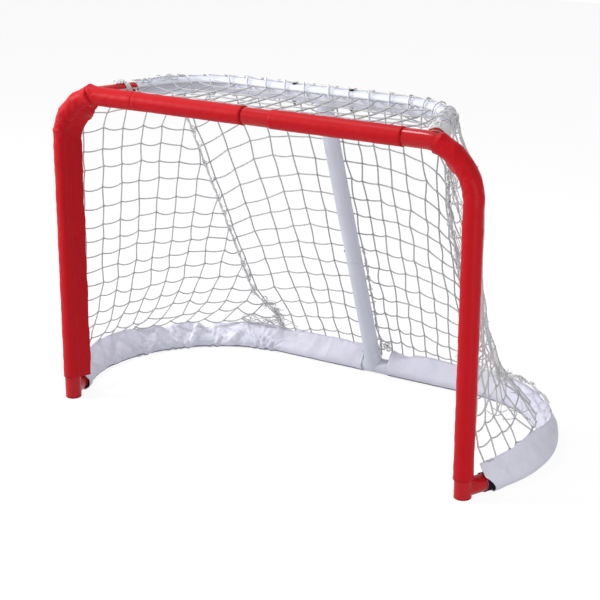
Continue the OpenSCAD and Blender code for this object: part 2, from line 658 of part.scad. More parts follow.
// Up the back of the post, clear of its sleeve, and round the corner
edge_off = sleeve_out + cord / 2 + cord_gap;
edge_out = edge_off * cos(50);
edge_back = edge_off * sin(50) + cord / 2;
front_points = concat([low_edge(0), [post_x + edge_out, edge_back, base_z + tube_r + 2 * mesh]],
    [for (a = [0:13:65]) [post_x - corner_r + (corner_r + edge_out) * cos(a), edge_back,
        bar_z - corner_r + (corner_r + edge_out) * sin(a)]],
    [high_edge(0)]);
front_len = chain_len(front_points);
function front_edge(v) = part_of(front_points, v * front_len);
function side_at(u, v) = let (
        low_chord = part(low_edge(0), low_edge(1), u),
        straight = part(low_edge(0), high_edge(0), v))
    part(low_chord, high_edge(u), v) + (low_edge(u) - low_chord) * follow(v)
    + (1 - u) * (front_edge(v) - straight) + [bow(v) * pow(u, 4), 0, 0];
module net_left() color(cord_white) centred() left() woven(side_cols, "side");
module net_right() color(cord_white) centred() woven(side_cols, "side");

// A net of square-section cord on one of the two surfaces, n meshes wide
tiny = 0.01;
function unit(p) = p / norm(p);
function net_at(kind, u, v) = kind == "side" ? side_at(u, v) : back_at(2 * u - 1, v);
function net_normal(kind, u, v) = let (a = min(u, 1 - tiny), b = min(v, 1 - tiny), p = net_at(kind, a, b))
    unit(cross(net_at(kind, a + tiny, b) - p, net_at(kind, a, b + tiny) - p));
function net_pair(kind, u, v) = let (p = net_at(kind, u, v), n = net_normal(kind, u, v) * cord / 2)
    [p + n, p - n];
function net_width(kind, v) = kind == "side"
    ? part(side_low_to - side_low_from, side_high_to - side_high_from, v)
    : 2 * part(base_len - seam_low_s, shelf_len - seam_high_s, v);
module woven(n, kind) {
    hv = cord / 2 / net_rise;
    knots = [for (i = [0:n]) for (j = [0:net_rows]) net_pair(kind, i / n, row_at(j))];
    holes = [for (i = [0:n - 1]) for (j = [0:net_rows - 1])
        for (c = [[0, 0], [1, 0], [1, 1], [0, 1]])
            let (v = row_at(j + c[1]) + (1 - 2 * c[1]) * hv)
            net_pair(kind, (i + c[0]) / n + (1 - 2 * c[0]) * cord / 2 / net_width(kind, v), v)];
    pts = [for (p = concat(knots, holes)) each p];
    function knot(i, j) = 2 * (i * (net_rows + 1) + j);
    function hole(i, j, k) = 2 * (len(knots) + 4 * (i * net_rows + j) + k % 4);
    function corner(i, j, k) = knot(i + (k % 4 == 1 || k % 4 == 2 ? 1 : 0), j + (k % 4 > 1 ? 1 : 0));
    cells = [for (i = [0:n - 1]) for (j = [0:net_rows - 1]) for (k = [0:3]) each
        let (a = corner(i, j, k), b = corner(i, j, k + 1), c = hole(i, j, k + 1), d = hole(i, j, k)) [
        [a, c, b], [a, d, c], [a + 1, b + 1, c + 1], [a + 1, c + 1, d + 1],
        [d, d + 1, c + 1], [d, c + 1, c]]];
    function wall(a, b) = [[a, b, b + 1], [a, b + 1, a + 1]];
    rim = concat(
        [for (i = [0:n - 1]) each concat(wall(knot(i, 0), knot(i + 1, 0)),
            wall(knot(i + 1, net_rows), knot(i, net_rows)))],
        [for (j = [0:net_rows - 1]) each concat(wall(knot(0, j + 1), knot(0, j)),
            wall(knot(n, j), knot(n, j + 1)))]);
    polyhedron(points = pts, faces = concat(cells, rim));
}

// Seam cord between a side net and the back net, straight from row to row
seam_points = [for (j = [0:net_rows]) part(low_point(seam_low_s), high_point(seam_high_s), row_at(j))
    + [bow(row_at(j)), 0, 0]];
module seam_cord() cord_along(seam_points, [for (p = seam_points) [0, 1, 0]], rope_d);
module left_seam_cord() color(cord_white) centred() left() seam_cord();
module right_seam_cord() color(cord_white) centred() seam_cord();

// Border rope along the top rear edge of the shelf, from one red stub to the other
rope_r = tube_r + cord_gap + rope_d / 2;
rope_o = rope_r * cos(rope_angle);
rope_from = shelf_stub;
module rope_half() translate([shelf_x, 0, bar_z + rope_r * sin(rope_angle)]) rotate([0, 0, shelf_lean])
    translate([rope_o, rope_from, 0]) bar([[0, shelf_straight - rope_from],
        [shelf_r + rope_o, 90 - shelf_lean], [0, shelf_half + tuck]], rope_d);
module shelf_rope() color(cord_white) centred() {
    rope_half();
    left() rope_half();
}

// ---- lacing ------------------------------------------------------------------------------------

// A cord swept along points; side is each point's own sideways direction
module cord_along(pts, sides, d = cord) {
    n = 6;
    m = len(pts);
    function tangent(i) = unit(pts[min(i + 1, m - 1)] - pts[max(i - 1, 0)]);
    rings = [for (i = [0:m - 1]) let (t = tangent(i), b = unit(cross(t, sides[i])), a = cross(b, t))
        for (k = [0:n - 1]) pts[i] + d / 2 * (a * cos(360 * k / n) + b * sin(360 * k / n))];
    skin = [for (i = [0:m - 2]) for (k = [0:n - 1]) let (a = i * n + k, b = i * n + (k + 1) % n) each
        [[a, a + n, b + n], [a, b + n, b]]];
    caps = concat([for (k = [1:n - 2]) [0, k, k + 1]], [for (k = [1:n - 2])
        [(m - 1) * n, (m - 1) * n + k + 1, (m - 1) * n + k]]);
    polyhedron(points = rings, faces = concat(skin, caps));
}
ring_count = 16;        // rings in a turn
turn_step = 360 / ring_count;
// Radius that clears what is wound in, also half way between two rings
lace_r = (norm([top_side - cord - cord_gap - cord / 2, top_net_z]) + cord_gap) / cos(turn_step / 2);
lace_start = 140;       // angle round the tube at the first ring
function lace_angle(i) = lace_start - i * turn_step;
function lace_side(i) = [0, cos(lace_angle(i)), sin(lace_angle(i))];
lace_rings = lace_turns * ring_count;
lace_points = [for (i = [0:lace_rings]) [lace_from + lace_pitch * i / ring_count, shelf_depth, bar_z]
    + lace_r * lace_side(i)];
lace_sides = [for (i = [0:lace_rings]) lace_side(i)];
module lacing() cord_along(lace_points, lace_sides);
module left_lacing() color(cord_white) centred() left() lacing();
module right_lacing() color(cord_white) centred() lacing();

tie_r = (tube_r + cord_gap + cord / 2) / cos(turn_step / 2);
tie_rings = tie_turns * ring_count;
function tie_side(i) = [cos(i * turn_step), 0, sin(i * turn_step)];
tie_points = [for (i = [0:tie_rings]) [0, tie_pitch * i / ring_count, 0] + tie_r * tie_side(i)];
tie_sides = [for (i = [0:tie_rings]) tie_side(i)];
module corner_tie() on_shelf(tie_from) cord_along(tie_points, tie_sides);
module left_corner_tie() color(cord_white) centred() left() corner_tie();
module right_corner_tie() color(cord_white) centred() corner_tie();

// Least air between two turns of a winding, over all pairs of rings half a turn or more apart
function least_air(pts) = min([for (i = [0:len(pts) - 1]) for (j = [i + ring_count / 2:1:len(pts) - 1])
    norm(pts[i] - pts[j])]) - cord;
echo(least_air_in_lacing = least_air(lace_points), least_air_in_corner_tie = least_air(tie_points));

// ---- nodes -------------------------------------------------------------------------------------

left_frame_tube();
right_frame_tube();
crossbar_joiner();
crossbar_rivets();
left_foot_cap();
right_foot_cap();
left_base_tube();
right_base_tube();
base_tee();
base_screws();
left_shelf_tube();
right_shelf_tube();
shelf_tee();
shelf_bolts();
shelf_nuts();
shelf_screws();
upright_lower();
upright_upper();
upright_screws();
left_post_sleeve();
right_post_sleeve();
left_bar_sleeve();
right_bar_sleeve();
left_skirt();
right_skirt();
net_back();
net_left();
net_right();
net_top();
shelf_rope();
left_lacing();
right_lacing();
left_corner_tie();
right_corner_tie();
left_seam_cord();
right_seam_cord();
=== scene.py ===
"""Street-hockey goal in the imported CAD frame: its tubes come from the CAD, cords and fabric are made here.

Lengths are millimetres with Y = 0 on the goal line; out() turns them into the row frame's metres.
"""
import math

import bpy
import numpy as np
from mathutils import Matrix, Vector


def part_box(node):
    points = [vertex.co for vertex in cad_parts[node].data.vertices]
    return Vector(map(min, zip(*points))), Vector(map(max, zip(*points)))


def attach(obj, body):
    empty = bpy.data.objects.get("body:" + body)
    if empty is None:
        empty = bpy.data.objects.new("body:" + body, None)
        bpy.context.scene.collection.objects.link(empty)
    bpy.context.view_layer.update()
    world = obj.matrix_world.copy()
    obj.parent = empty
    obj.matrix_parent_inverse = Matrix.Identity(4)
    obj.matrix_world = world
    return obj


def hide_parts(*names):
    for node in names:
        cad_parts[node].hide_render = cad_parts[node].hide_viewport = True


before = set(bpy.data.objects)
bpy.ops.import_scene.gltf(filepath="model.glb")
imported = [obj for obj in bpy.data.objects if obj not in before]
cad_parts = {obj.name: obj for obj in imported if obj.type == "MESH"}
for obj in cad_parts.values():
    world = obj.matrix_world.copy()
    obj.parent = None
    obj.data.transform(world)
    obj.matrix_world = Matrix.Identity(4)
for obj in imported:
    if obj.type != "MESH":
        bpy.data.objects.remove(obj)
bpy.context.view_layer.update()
rng = np.random.default_rng(11)

# ---- sizes taken from the CAD ----


def box(node):
    """Lower and upper corner of a CAD node in millimetres."""
    lo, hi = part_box(node)
    return np.array(lo) * 1000, np.array(hi) * 1000


lo, hi = box("right_foot_cap")
POST_X, TUBE_R, GOAL_Y = (lo[0] + hi[0]) / 2, (hi[0] - lo[0]) / 2, (lo[1] + hi[1]) / 2
lo, hi = box("crossbar_joiner")
BAR_Z = (lo[2] + hi[2]) / 2
lo, hi = box("right_base_tube")
BASE_Z, BASE_Y, SPLAY_X = (lo[2] + hi[2]) / 2, hi[1] - TUBE_R - GOAL_Y, hi[0] - TUBE_R
lo, hi = box("shelf_tee")
SHELF_Y = lo[1] + TUBE_R - GOAL_Y
CORNER_R = 130                                   # bend of the frame tubes, on their axis
CORNER = (POST_X - CORNER_R, BAR_Z - CORNER_R)   # centre of the right one's bend, X and Z
SLEEVE_R = TUBE_R + 1.4                          # the red cloth round a frame tube
JOIN_R = SLEEVE_R + 0.6                          # the same where two sleeves meet
SIDES = (("left", -1), ("right", 1))


def out(p):
    """Goal-line millimetres to the row frame's metres."""
    return (np.asarray(p, float) + [0, GOAL_Y, 0]) / 1000


# ---- plans of the base and the shelf, right half, from the post or crossbar to the middle ----


class Plan:
    """Straights [0, length] and bends [radius, degrees], walked from a point with a heading in degrees."""

    STEP, BEFORE, AFTER = 0.5, 120, 60

    def __init__(self, steps, x, y, heading):
        s, h = [0.0], [math.radians(heading)]
        for r, a in steps:
            s.append(s[-1] + (r * math.radians(a) if r else a))
            h.append(h[-1] + (math.radians(a) if r else 0))
        self.length = s[-1]
        self.s = np.arange(-self.BEFORE, self.length + self.AFTER, self.STEP)
        self.h = np.interp(self.s, s, h)
        mid = (self.h[1:] + self.h[:-1]) / 2
        self.x = np.concatenate([[0], np.cumsum(np.cos(mid) * self.STEP)])
        self.y = np.concatenate([[0], np.cumsum(np.sin(mid) * self.STEP)])
        self.x += x - np.interp(0, self.s, self.x)
        self.y += y - np.interp(0, self.s, self.y)

    def at(self, s, o, z):
        """Points o outward from the axis at the distance s, at the height z."""
        s, o, z = np.broadcast_arrays(np.asarray(s, float), o, z)
        h = np.interp(s, self.s, self.h)
        x = np.interp(s, self.s, self.x) + o * np.sin(h)
        y = np.interp(s, self.s, self.y) - o * np.cos(h)
        return np.stack([x, y, z], -1)


# Base: degrees outward, the bend that takes them back, and the straights before and after that bend
SPLAY, SPLAY_R, BASE_RUN, SIDE_RUN = 22, 300, 134, 20
splay_rad = math.radians(SPLAY)
REAR_R = BASE_Y - SIDE_RUN - BASE_RUN * math.cos(splay_rad) - SPLAY_R * math.sin(splay_rad)
base = Plan([[0, BASE_RUN], [SPLAY_R, SPLAY], [0, SIDE_RUN], [REAR_R, 90], [0, SPLAY_X - REAR_R]],
            POST_X, 0, 90 - SPLAY)
# Shelf: where it leaves the crossbar, degrees inward, and its bend
SHELF_X, SHELF_LEAN, SHELF_R = 505, 20, 200
lean_rad = math.radians(SHELF_LEAN)
SHELF_RUN = (SHELF_Y - SHELF_R * (1 - math.sin(lean_rad))) / math.cos(lean_rad)
shelf = Plan([[0, SHELF_RUN], [SHELF_R, 90 - SHELF_LEAN],
              [0, SHELF_X - SHELF_RUN * math.sin(lean_rad) - SHELF_R * math.cos(lean_rad)]],
             SHELF_X, 0, 90 + SHELF_LEAN)
LEAN = math.atan2(BASE_Y - SHELF_Y, BAR_Z - BASE_Z)

# ---- meshes ----

made = []
TINY = 1e-9


def piece(name, verts, quads, uv=None, mat=None):
    """A mesh object from vertices in goal-line millimetres and quads, with a UV per corner."""
    verts, quads = out(verts), np.asarray(quads, np.int32)
    me = bpy.data.meshes.new(name)
    me.vertices.add(len(verts))
    me.vertices.foreach_set("co", verts.astype(np.float32).ravel())
    me.loops.add(quads.size)
    me.loops.foreach_set("vertex_index", quads.ravel())
    me.polygons.add(len(quads))
    me.polygons.foreach_set("loop_start", np.arange(0, quads.size, 4, dtype=np.int32))
    me.polygons.foreach_set("loop_total", np.full(len(quads), 4, np.int32))
    me.update(calc_edges=True)
    me.validate()
    me.polygons.foreach_set("use_smooth", np.full(len(me.polygons), True))
    if uv is not None:
        me.uv_layers.new(name="Lay").data.foreach_set("uv", np.asarray(uv, np.float32).ravel())
    if mat:
        me.materials.append(mat)
    ob = bpy.data.objects.new(name, me)
    bpy.context.scene.collection.objects.link(ob)
    made.append(ob)
    return ob


def distances(path):
    """Distance of each point of a polyline from its first one, along it."""
    return np.concatenate([[0], np.cumsum(np.linalg.norm(np.diff(path, axis=0), axis=1))])


def point_at(path, keys, at):
    """Points of a polyline where its rising keys take the values at."""
    return np.stack([np.interp(at, keys, path[:, k]) for k in range(path.shape[1])], -1)


def smoothed(path, times):
    """A polyline whose points are averaged with their neighbours, its ends kept."""
    for _ in range(times):
        path[1:-1] = (path[:-2] + 2 * path[1:-1] + path[2:]) / 4
    return path


def quad_grid(rows, columns, row_gaps, column_gaps):
    """Row, column and corners of each quad of a point grid, which closes round where gaps equal points."""
    i, k = np.meshgrid(np.arange(row_gaps), np.arange(column_gaps), indexing="ij")
    i, k = i.ravel(), k.ravel()
    i2, k2 = (i + 1) % rows, (k + 1) % columns
    return i, k, np.stack([i * columns + k, i * columns + k2, i2 * columns + k2, i2 * columns + k], -1)


def corner_uvs(u, v, u2, v2):
    """UVs of quads, corner by corner."""
    return np.stack([np.stack(corner, -1) for corner in ((u, v), (u2, v), (u2, v2), (u, v2))], 1)


def circles(a, b, sides):
    """Unit circles in the planes of the side vectors a and b."""
    ring = np.arange(sides) * math.tau / sides
    return a[:, None] * np.cos(ring)[None, :, None] + b[:, None] * np.sin(ring)[None, :, None]


def transported(pts):
    """Two side vectors at each point of a polyline, carried along it with no twist."""
    t = np.gradient(pts, axis=0)
    t /= np.maximum(np.linalg.norm(t, axis=1, keepdims=True), TINY)
    ref = np.array([0, 0, 1.0]) if abs(t[0, 2]) < 0.9 else np.array([1.0, 0, 0])
    a = np.cross(t[0], ref)
    sides = []
    for k in range(len(pts)):
        a = a - t[k] * (a @ t[k])
        a /= max(np.linalg.norm(a), TINY)
        sides.append(a)
    a = np.array(sides)
    return a, np.cross(t, a)


# A cord's end stands out by the first share of its radius and is drawn in to the second
END_OUT, END_R = 0.6, 0.15


def cords(name, paths, radius, mat, sides=7, pitch=7.0):
    """One piece of round cord along each path; pitch is the distance between ridges of its twist."""
    verts, quads, uvs, n0 = [], [], [], 0
    for p in paths:
        run = distances(p) / pitch
        t0, t1 = p[0] - p[1], p[-1] - p[-2]
        t0, t1 = t0 / max(np.linalg.norm(t0), TINY), t1 / max(np.linalg.norm(t1), TINY)
        a, b, run = (np.concatenate([v[:1], v, v[-1:]]) for v in (*transported(p), run))
        p = np.concatenate([[p[0] + t0 * radius * END_OUT], p, [p[-1] + t1 * radius * END_OUT]])
        r = np.full(len(p), float(radius))
        r[[0, -1]] = radius * END_R
        i, k, quad = quad_grid(len(p), sides, len(p) - 1, sides)
        verts.append((p[:, None] + r[:, None, None] * circles(a, b, sides)).reshape(-1, 3))
        quads.append(quad + n0)
        uvs.append(corner_uvs(k / sides, run[i], (k + 1) / sides, run[i + 1]))
        n0 += len(p) * sides
    return piece(name, np.concatenate(verts), np.concatenate(quads), np.concatenate(uvs), mat)


# A knot's steps round its loop, sides of its cord, radius of loop and of cord, and the scale of it all
KNOT_STEPS, KNOT_SIDES, KNOT_LOOP, KNOT_CORD, KNOT = 22, 5, 1.45, 2.0, 0.72


def knots(name, centres, right, up, mat):
    """A tight wrapped knot at each centre, turned at random in the net's plane, which right and up give."""
    t = np.arange(KNOT_STEPS) * math.tau / KNOT_STEPS
    loop = [np.sin(t) + 1.5 * np.sin(2 * t), np.cos(t) - 1.5 * np.cos(2 * t), -1.15 * np.sin(3 * t)]
    loop = np.stack(loop, -1)
    closed = np.concatenate([loop[-1:], loop, loop[:1]])
    along = closed[2:] - closed[:-2]
    along /= np.linalg.norm(along, axis=1, keepdims=True)
    a = np.cross(along, [0, 0, 1.0])
    a /= np.linalg.norm(a, axis=1, keepdims=True)
    one = (loop[:, None] * KNOT_LOOP + KNOT_CORD * circles(a, np.cross(along, a), KNOT_SIDES)).reshape(-1, 3)
    i, k, quad = quad_grid(KNOT_STEPS, KNOT_SIDES, KNOT_STEPS, KNOT_SIDES)
    uv = corner_uvs(k / KNOT_SIDES, i * 0.5, (k + 1) / KNOT_SIDES, i * 0.5 + 0.5)
    r = right / np.linalg.norm(right)
    n = np.cross(r, up)
    n /= np.linalg.norm(n)
    u = np.cross(n, r)
    verts = []
    for c in centres:
        g, w = rng.uniform(0, math.tau), KNOT * rng.uniform(0.85, 1.15)
        x, y = r * math.cos(g) + u * math.sin(g), -r * math.sin(g) + u * math.cos(g)
        verts.append(c + w * (one[:, :1] * x + one[:, 1:2] * y + one[:, 2:] * n))
    count = len(verts)
    quads = (quad[None] + np.arange(count)[:, None, None] * len(one)).reshape(-1, 4)
    return piece(name, np.concatenate(verts), quads, np.tile(uv, (count, 1, 1)), mat)


def sheet_piece(name, grid, thick, mat):
    """A cloth surface through a grid of points, with half of its thickness on either side."""
    rows, columns = grid.shape[:2]
    i, k, quads = quad_grid(rows, columns, rows - 1, columns - 1)
    along, across = distances(grid[:, 0]) / 1000, distances(grid[0]) / 1000
    uv = corner_uvs(across[k], along[i], across[k + 1], along[i + 1])[..., ::-1]
    ob = piece(name, grid.reshape(-1, 3), quads, uv, mat)
    mod = ob.modifiers.new("thickness", "SOLIDIFY")
    mod.thickness = thick / 1000
    mod.offset = 0
    return ob


def wave(x, seed, length):
    """Smooth noise from -1 to 1 along x, with about one swing per length."""
    r = np.random.default_rng(seed)
    x = np.asarray(x, float)
    total = np.zeros_like(x)
    for octave in range(3):
        total += np.sin(x / length * math.pi * (1 + 0.83 * octave) + r.uniform(0, 6.28)) / (1 + octave)
    return total / 1.83


def ramp(x, a, b):
    """0 below a, 1 above b and straight between them."""
    return np.clip((x - a) / (b - a), 0, 1)


def hump(x, width):
    """A smooth hump of height 1 round x = 0."""
    return np.exp(-(x / width) ** 2)


def runs_between(path, low, high):
    """The parts of a polyline whose height lies between two limits, cut exactly."""
    runs, run = [], []
    for k, p in enumerate(path):
        inside = low <= p[2] <= high
        if k:
            q = path[k - 1]
            for edge in (low, high):
                if (q[2] - edge) * (p[2] - edge) < 0:
                    cut = q + (p - q) * (edge - q[2]) / (p[2] - q[2])
                    if run:
                        runs.append(run + [cut])
                        run = []
                    elif inside:
                        run = [cut]
        if inside:
            run.append(p)
    if run:
        runs.append(run)
    return [np.array(r) for r in runs if len(r) > 1]


BOW_STEPS = 6


def strand(points, bows):
    """A cord through the points, bowed by the given vector between each two of them."""
    t = np.linspace(0, 1, BOW_STEPS + 1)[:-1, None]
    parts = [p + (q - p) * t + b * 4 * t * (1 - t) for p, q, b in zip(points[:-1], points[1:], bows)]
    return np.concatenate(parts + [points[-1:]])


# ---- materials ----


def link(m, a, b):
    m.node_tree.links.new(a, b)


def node(m, kind, **values):
    """A new node; a value sets the input of that name, with spaces for underscores, or else the property."""
    n = m.node_tree.nodes.new(kind)
    for key, value in values.items():
        socket = key.replace("_", " ")
        if socket in n.inputs:
            n.inputs[socket].default_value = value
        else:
            setattr(n, key, value)
    return n


def maths(m, operation, *inputs):
    """Output of a math node whose inputs are numbers or the outputs of other nodes."""
    n = node(m, "ShaderNodeMath", operation=operation)
    for socket, value in zip(n.inputs, inputs):
        if isinstance(value, bpy.types.NodeSocket):
            link(m, value, socket)
        else:
            socket.default_value = value
    return n.outputs[0]


def bump(m, height, strength, depth):
    n = node(m, "ShaderNodeBump", Strength=strength, Distance=depth)
    link(m, height, n.inputs["Height"])
    link(m, n.outputs["Normal"], m.node_tree.nodes["Principled BSDF"].inputs["Normal"])


def noise(m, scale, detail, rough=0.5):
    c = node(m, "ShaderNodeTexCoord")
    n = node(m, "ShaderNodeTexNoise", Scale=scale, Detail=detail, Roughness=rough)
    link(m, c.outputs["Object"], n.inputs["Vector"])
    return n.outputs["Fac"]


def varied(m, colour, amount, scale):
    """Slow variation of the base colour's lightness."""
    level = node(m, "ShaderNodeMapRange", To_Min=1 - amount, To_Max=1 + amount * 0.4)
    link(m, noise(m, scale, 3.0), level.inputs["Value"])
    mix = node(m, "ShaderNodeVectorMath", operation="SCALE")
    mix.inputs[0].default_value = colour
    link(m, level.outputs["Result"], mix.inputs["Scale"])
    link(m, mix.outputs["Vector"], m.node_tree.nodes["Principled BSDF"].inputs["Base Color"])


def twisted(m, strands, strength, depth=0.0008):
    """Bump of a twisted cord, from a UV that runs round and along it."""
    c, s = node(m, "ShaderNodeTexCoord"), node(m, "ShaderNodeSeparateXYZ")
    link(m, c.outputs["UV"], s.inputs[0])
    turn = maths(m, "MULTIPLY_ADD", s.outputs["X"], strands, s.outputs["Y"])
    bump(m, maths(m, "ABSOLUTE", maths(m, "SINE", maths(m, "MULTIPLY", turn, math.pi))), strength, depth)


def material(name, colour, rough, specular=0.5, metallic=0.0, grain=None, vary=None, twist=None):
    """A Principled material.

    grain: a noise bump's scale, detail, strength, depth and, where it isn't 0.5, roughness.
    vary: amount and scale of the colour's variation. twist: strands and strength of a cord's bump.
    """
    m = bpy.data.materials.new(name)
    m.use_nodes = True
    sockets = m.node_tree.nodes["Principled BSDF"].inputs
    sockets["Base Color"].default_value = (*colour, 1)
    sockets["Roughness"].default_value = rough
    sockets["Specular IOR Level"].default_value = specular
    sockets["Metallic"].default_value = metallic
    if grain:
        scale, detail, strength, depth, *noise_rough = grain
        bump(m, noise(m, scale, detail, *noise_rough), strength, depth)
    if vary:
        varied(m, colour, *vary)
    if twist:
        twisted(m, *twist)
    return m


mat_red = material("red_powder_coat", (0.50, 0.007, 0.012), 0.2, specular=0.2,
                   grain=(900, 1.0, 0.12, 0.0004), vary=(0.06, 14))
mat_white = material("white_powder_coat", (0.74, 0.77, 0.87), 0.34, specular=0.35,
                     grain=(900, 1.0, 0.12, 0.0004), vary=(0.05, 12))
mat_cap = material("red_cap_plastic", (0.42, 0.007, 0.012), 0.5, specular=0.15,
                   grain=(2500, 2.0, 0.2, 0.0003))
mat_bolt = material("black_zinc", (0.03, 0.03, 0.035), 0.4, metallic=0.8, grain=(3000, 2.0, 0.15, 0.0002))
mat_sleeve = material("red_sleeve_nylon", (0.52, 0.007, 0.013), 0.45, specular=0.1,
                      grain=(1400, 3.0, 0.18, 0.0005), vary=(0.12, 9))
mat_skirt = material("white_skirt_nylon", (0.80, 0.80, 0.92), 0.5, specular=0.3,
                     grain=(60, 4.0, 0.5, 0.006, 0.6), vary=(0.1, 25))
mat_cord = material("white_net_cord", (0.57, 0.57, 0.59), 0.75, specular=0.2, twist=(3, 0.8))
mat_rope = material("white_lacing_cord", (0.80, 0.80, 0.82), 0.7, specular=0.2, twist=(3, 0.9))
# Painted shadow: near-black colour for the line that stands in for the contact shadow under each skirt
mat_painted_shadow = material("painted_shadow_line", (0.05, 0.05, 0.08), 0.7, grain=(2000, 1.0, 0.3, 0.0002))
# Painted shade: near-black colour for the band that stands in for the shadow inside each skirt's open end
mat_painted_shade = material("dark_painted_shade", (0.014, 0.009, 0.011), 0.9, specular=0.1)
mat_thread = material("red_thread", (0.45, 0.02, 0.03), 0.7, grain=(2500, 1.0, 0.3, 0.0002))

for names, mat in (
    (("left_frame_tube", "right_frame_tube"), mat_red),
    (("crossbar_joiner", "left_base_tube", "right_base_tube", "base_tee", "left_shelf_tube",
      "right_shelf_tube", "shelf_tee", "upright_lower", "upright_upper"), mat_white),
    (("left_foot_cap", "right_foot_cap"), mat_cap),
    (("crossbar_rivets", "base_screws", "shelf_bolts", "shelf_nuts", "shelf_screws", "upright_screws"),
     mat_bolt),
):
    for name in names:
        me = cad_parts[name].data
        me.materials.clear()
        me.materials.append(mat)

# ---- nets ----

PITCH = 55   # a mesh, from knot to knot
# Radii of the net's cord, its slack strands, the string, the seam's cords and ties, and the lacing
CORD_R, SLACK_R, STRING_R, SEAM_R, SEAM_TIE_R, LACING_R = 2.05, 1.3, 1.4, 1.9, 1.4, 2.0
NET_OFF = TUBE_R + 2.5   # from a tube's axis to the net beside it
LOW_RISE, HIGH_RISE = 28, 12   # the net's edges above the axes of the base and of the shelf
NET_LOW, NET_HIGH = BASE_Z + LOW_RISE, BAR_Z + HIGH_RISE
LOW_O, HIGH_O = (-rise * math.tan(LEAN) + NET_OFF / math.cos(LEAN) for rise in (LOW_RISE, HIGH_RISE))
SEAM_TOP, SEAM_LOW = 260, base.length - 327   # where the seam meets the shelf and the base, along their plans
SIDE_LOW_FROM, SIDE_HIGH_FROM = 68, 126   # where a side net starts there
SHELF_BEND_END = SHELF_RUN + SHELF_R * math.radians(90 - SHELF_LEAN)
# Height and outward distance of each seam from the straight line between its ends
SEAM_LINE = {
    "left": ((128, 0), (190, 46), (240, 46), (879, 0)),
    "right": ((200, 0), (300, -14), (400, -28), (500, -38), (600, -45), (700, -38), (790, -18), (879, 0)),
}
# How quickly each side net falls back from the base's outline, and from which share of the height
FALL = {"left": (5.8, 0.053), "right": (7.5, 0.014)}
ROWS = range(-3, 15)   # from above the shelf to below the base; what is over is cut off
MOST_COLUMNS = 18


def share(z):
    """Share of the nets' height at z."""
    return (z - NET_LOW) / (NET_HIGH - NET_LOW)


def row_middle(j):
    """Height of a row of knots in the middle of the back net."""
    return 845 - 57.5 * j + 0.35 * j * j


def row_drop(z):
    """How much lower a row is at the seams."""
    return 21 + 0.118 * z + 16 * math.exp(-((z - 560) / 130) ** 2)


def row_at_seam(j):
    z = row_middle(j)
    return z - row_drop(z)


def bow(z, side):
    return np.interp(z, *zip(*SEAM_LINE[side]))


def follow(v, side):
    """Share of the base's outline that a side net still follows."""
    slack, start = FALL[side]
    return (1 - v) / (1 + slack * max(0, v - start))


def low_edge(s):
    return base.at(s, LOW_O, NET_LOW)


def high_edge(s):
    steep = 1 - ramp(s, SEAM_TOP, SHELF_BEND_END)
    beside_tie = 4.5 * (1 - ramp(s, SIDE_HIGH_FROM, SIDE_HIGH_FROM + 40))
    return shelf.at(s, HIGH_O + (NET_OFF - HIGH_O) * steep + beside_tie, NET_HIGH)


def seam_point(z, side):
    """A seam at the height z, as if on the right."""
    a, b = low_edge(SEAM_LOW), high_edge(SEAM_TOP)
    return a + (b - a) * share(z) + [bow(z, side), 0, 0]


def back_point(u, z):
    """Back net: u from -1 at the left seam to 1 at the right one."""
    s, v = abs(u), share(z)
    a = low_edge(base.length - s * (base.length - SEAM_LOW))
    b = high_edge(shelf.length - s * (shelf.length - SEAM_TOP))
    p = a + (b - a) * v + [bow(z, "right" if u > 0 else "left") * s ** 4, 0, 0]
    return p * [1 if u >= 0 else -1, 1, 1]


# Places of the back net's columns, which are closer together on the right
COLUMNS = [-0.97, -0.83, -0.68, -0.53, -0.377, -0.22, -0.065, 0.047, 0.155, 0.26, 0.377, 0.493, 0.622, 0.744,
           0.858, 0.958]


def back_row(u, j):
    """Height of a row of the back net, level in the middle and lower towards the seams."""
    z = row_middle(j)
    half = 327 + 115 * min(max(share(z), 0), 1)
    d = (1 - abs(u)) * half
    return z - row_drop(z) * max(0, 1 - d / 310) ** 2 + 3.0 * wave(u * 400, 50 + j, 130)


def cut_net(name, paths, centres, right, up):
    """Cords and knots of one net, cut off at its lower and upper edge."""
    cords(name, [run for path in paths for run in runs_between(path, NET_LOW, NET_HIGH)], CORD_R, mat_cord)
    inside = [c for c in centres if NET_LOW + 6 < c[2] < NET_HIGH - 6]
    knots(name + "_knots", inside, np.array(right), up, mat_cord)


# Back net
grid = {}
for j in ROWS:
    for i, u in enumerate(COLUMNS):
        p = back_point(u, back_row(u, j)) + [rng.normal(0, 2.6), 0, rng.normal(0, 2.2)]
        grid[i, j] = p + [0, abs(rng.normal(0, 1.0)), 0]
back_rows, back_columns = [], []
for j in ROWS:
    left, right = (back_point(u, back_row(u, j)) for u in (-1, 1))
    pts = np.array([left] + [grid[i, j] for i in range(len(COLUMNS))] + [right])
    loose = 0.8 + 4.6 * max(0, 1 - share(row_middle(j))) ** 1.5
    bows = [np.array([0, abs(rng.normal(0, 1)), -rng.normal(loose, 1.8)]) for _ in pts[1:]]
    back_rows.append(strand(pts, bows))
for i, u in enumerate(COLUMNS):
    above = [grid[i, j] for j in reversed(ROWS) if grid[i, j][2] > NET_LOW + 5]
    pts = np.array([back_point(u, NET_LOW)] + above)
    bows = [np.array([rng.normal(0, 1.3), abs(rng.normal(0, 0.8)), 0]) for _ in pts[1:]]
    back_columns.append(strand(pts, bows))
cut_net("net_back_cords", back_rows + back_columns, grid.values(), right=(1.0, 0, 0), up=(0, -0.33, 0.94))

# A doubled string that closes the back net beside the upright, from the middle down to the skirt
string_z = np.arange(86, 420, 3.0)
t = np.linspace(0, 1, 14)
line = np.array([back_point(0.06, z) for z in string_z]) - [0, 3.2, 0]
line[:, 0] += 2.2 * wave(string_z, 91, 60)
strings = [line + np.stack([2.2 * np.cos(string_z / 9 + a), 1.6 * np.sin(string_z / 9 + a), 0 * string_z], -1)
           for a in (0, math.pi)]
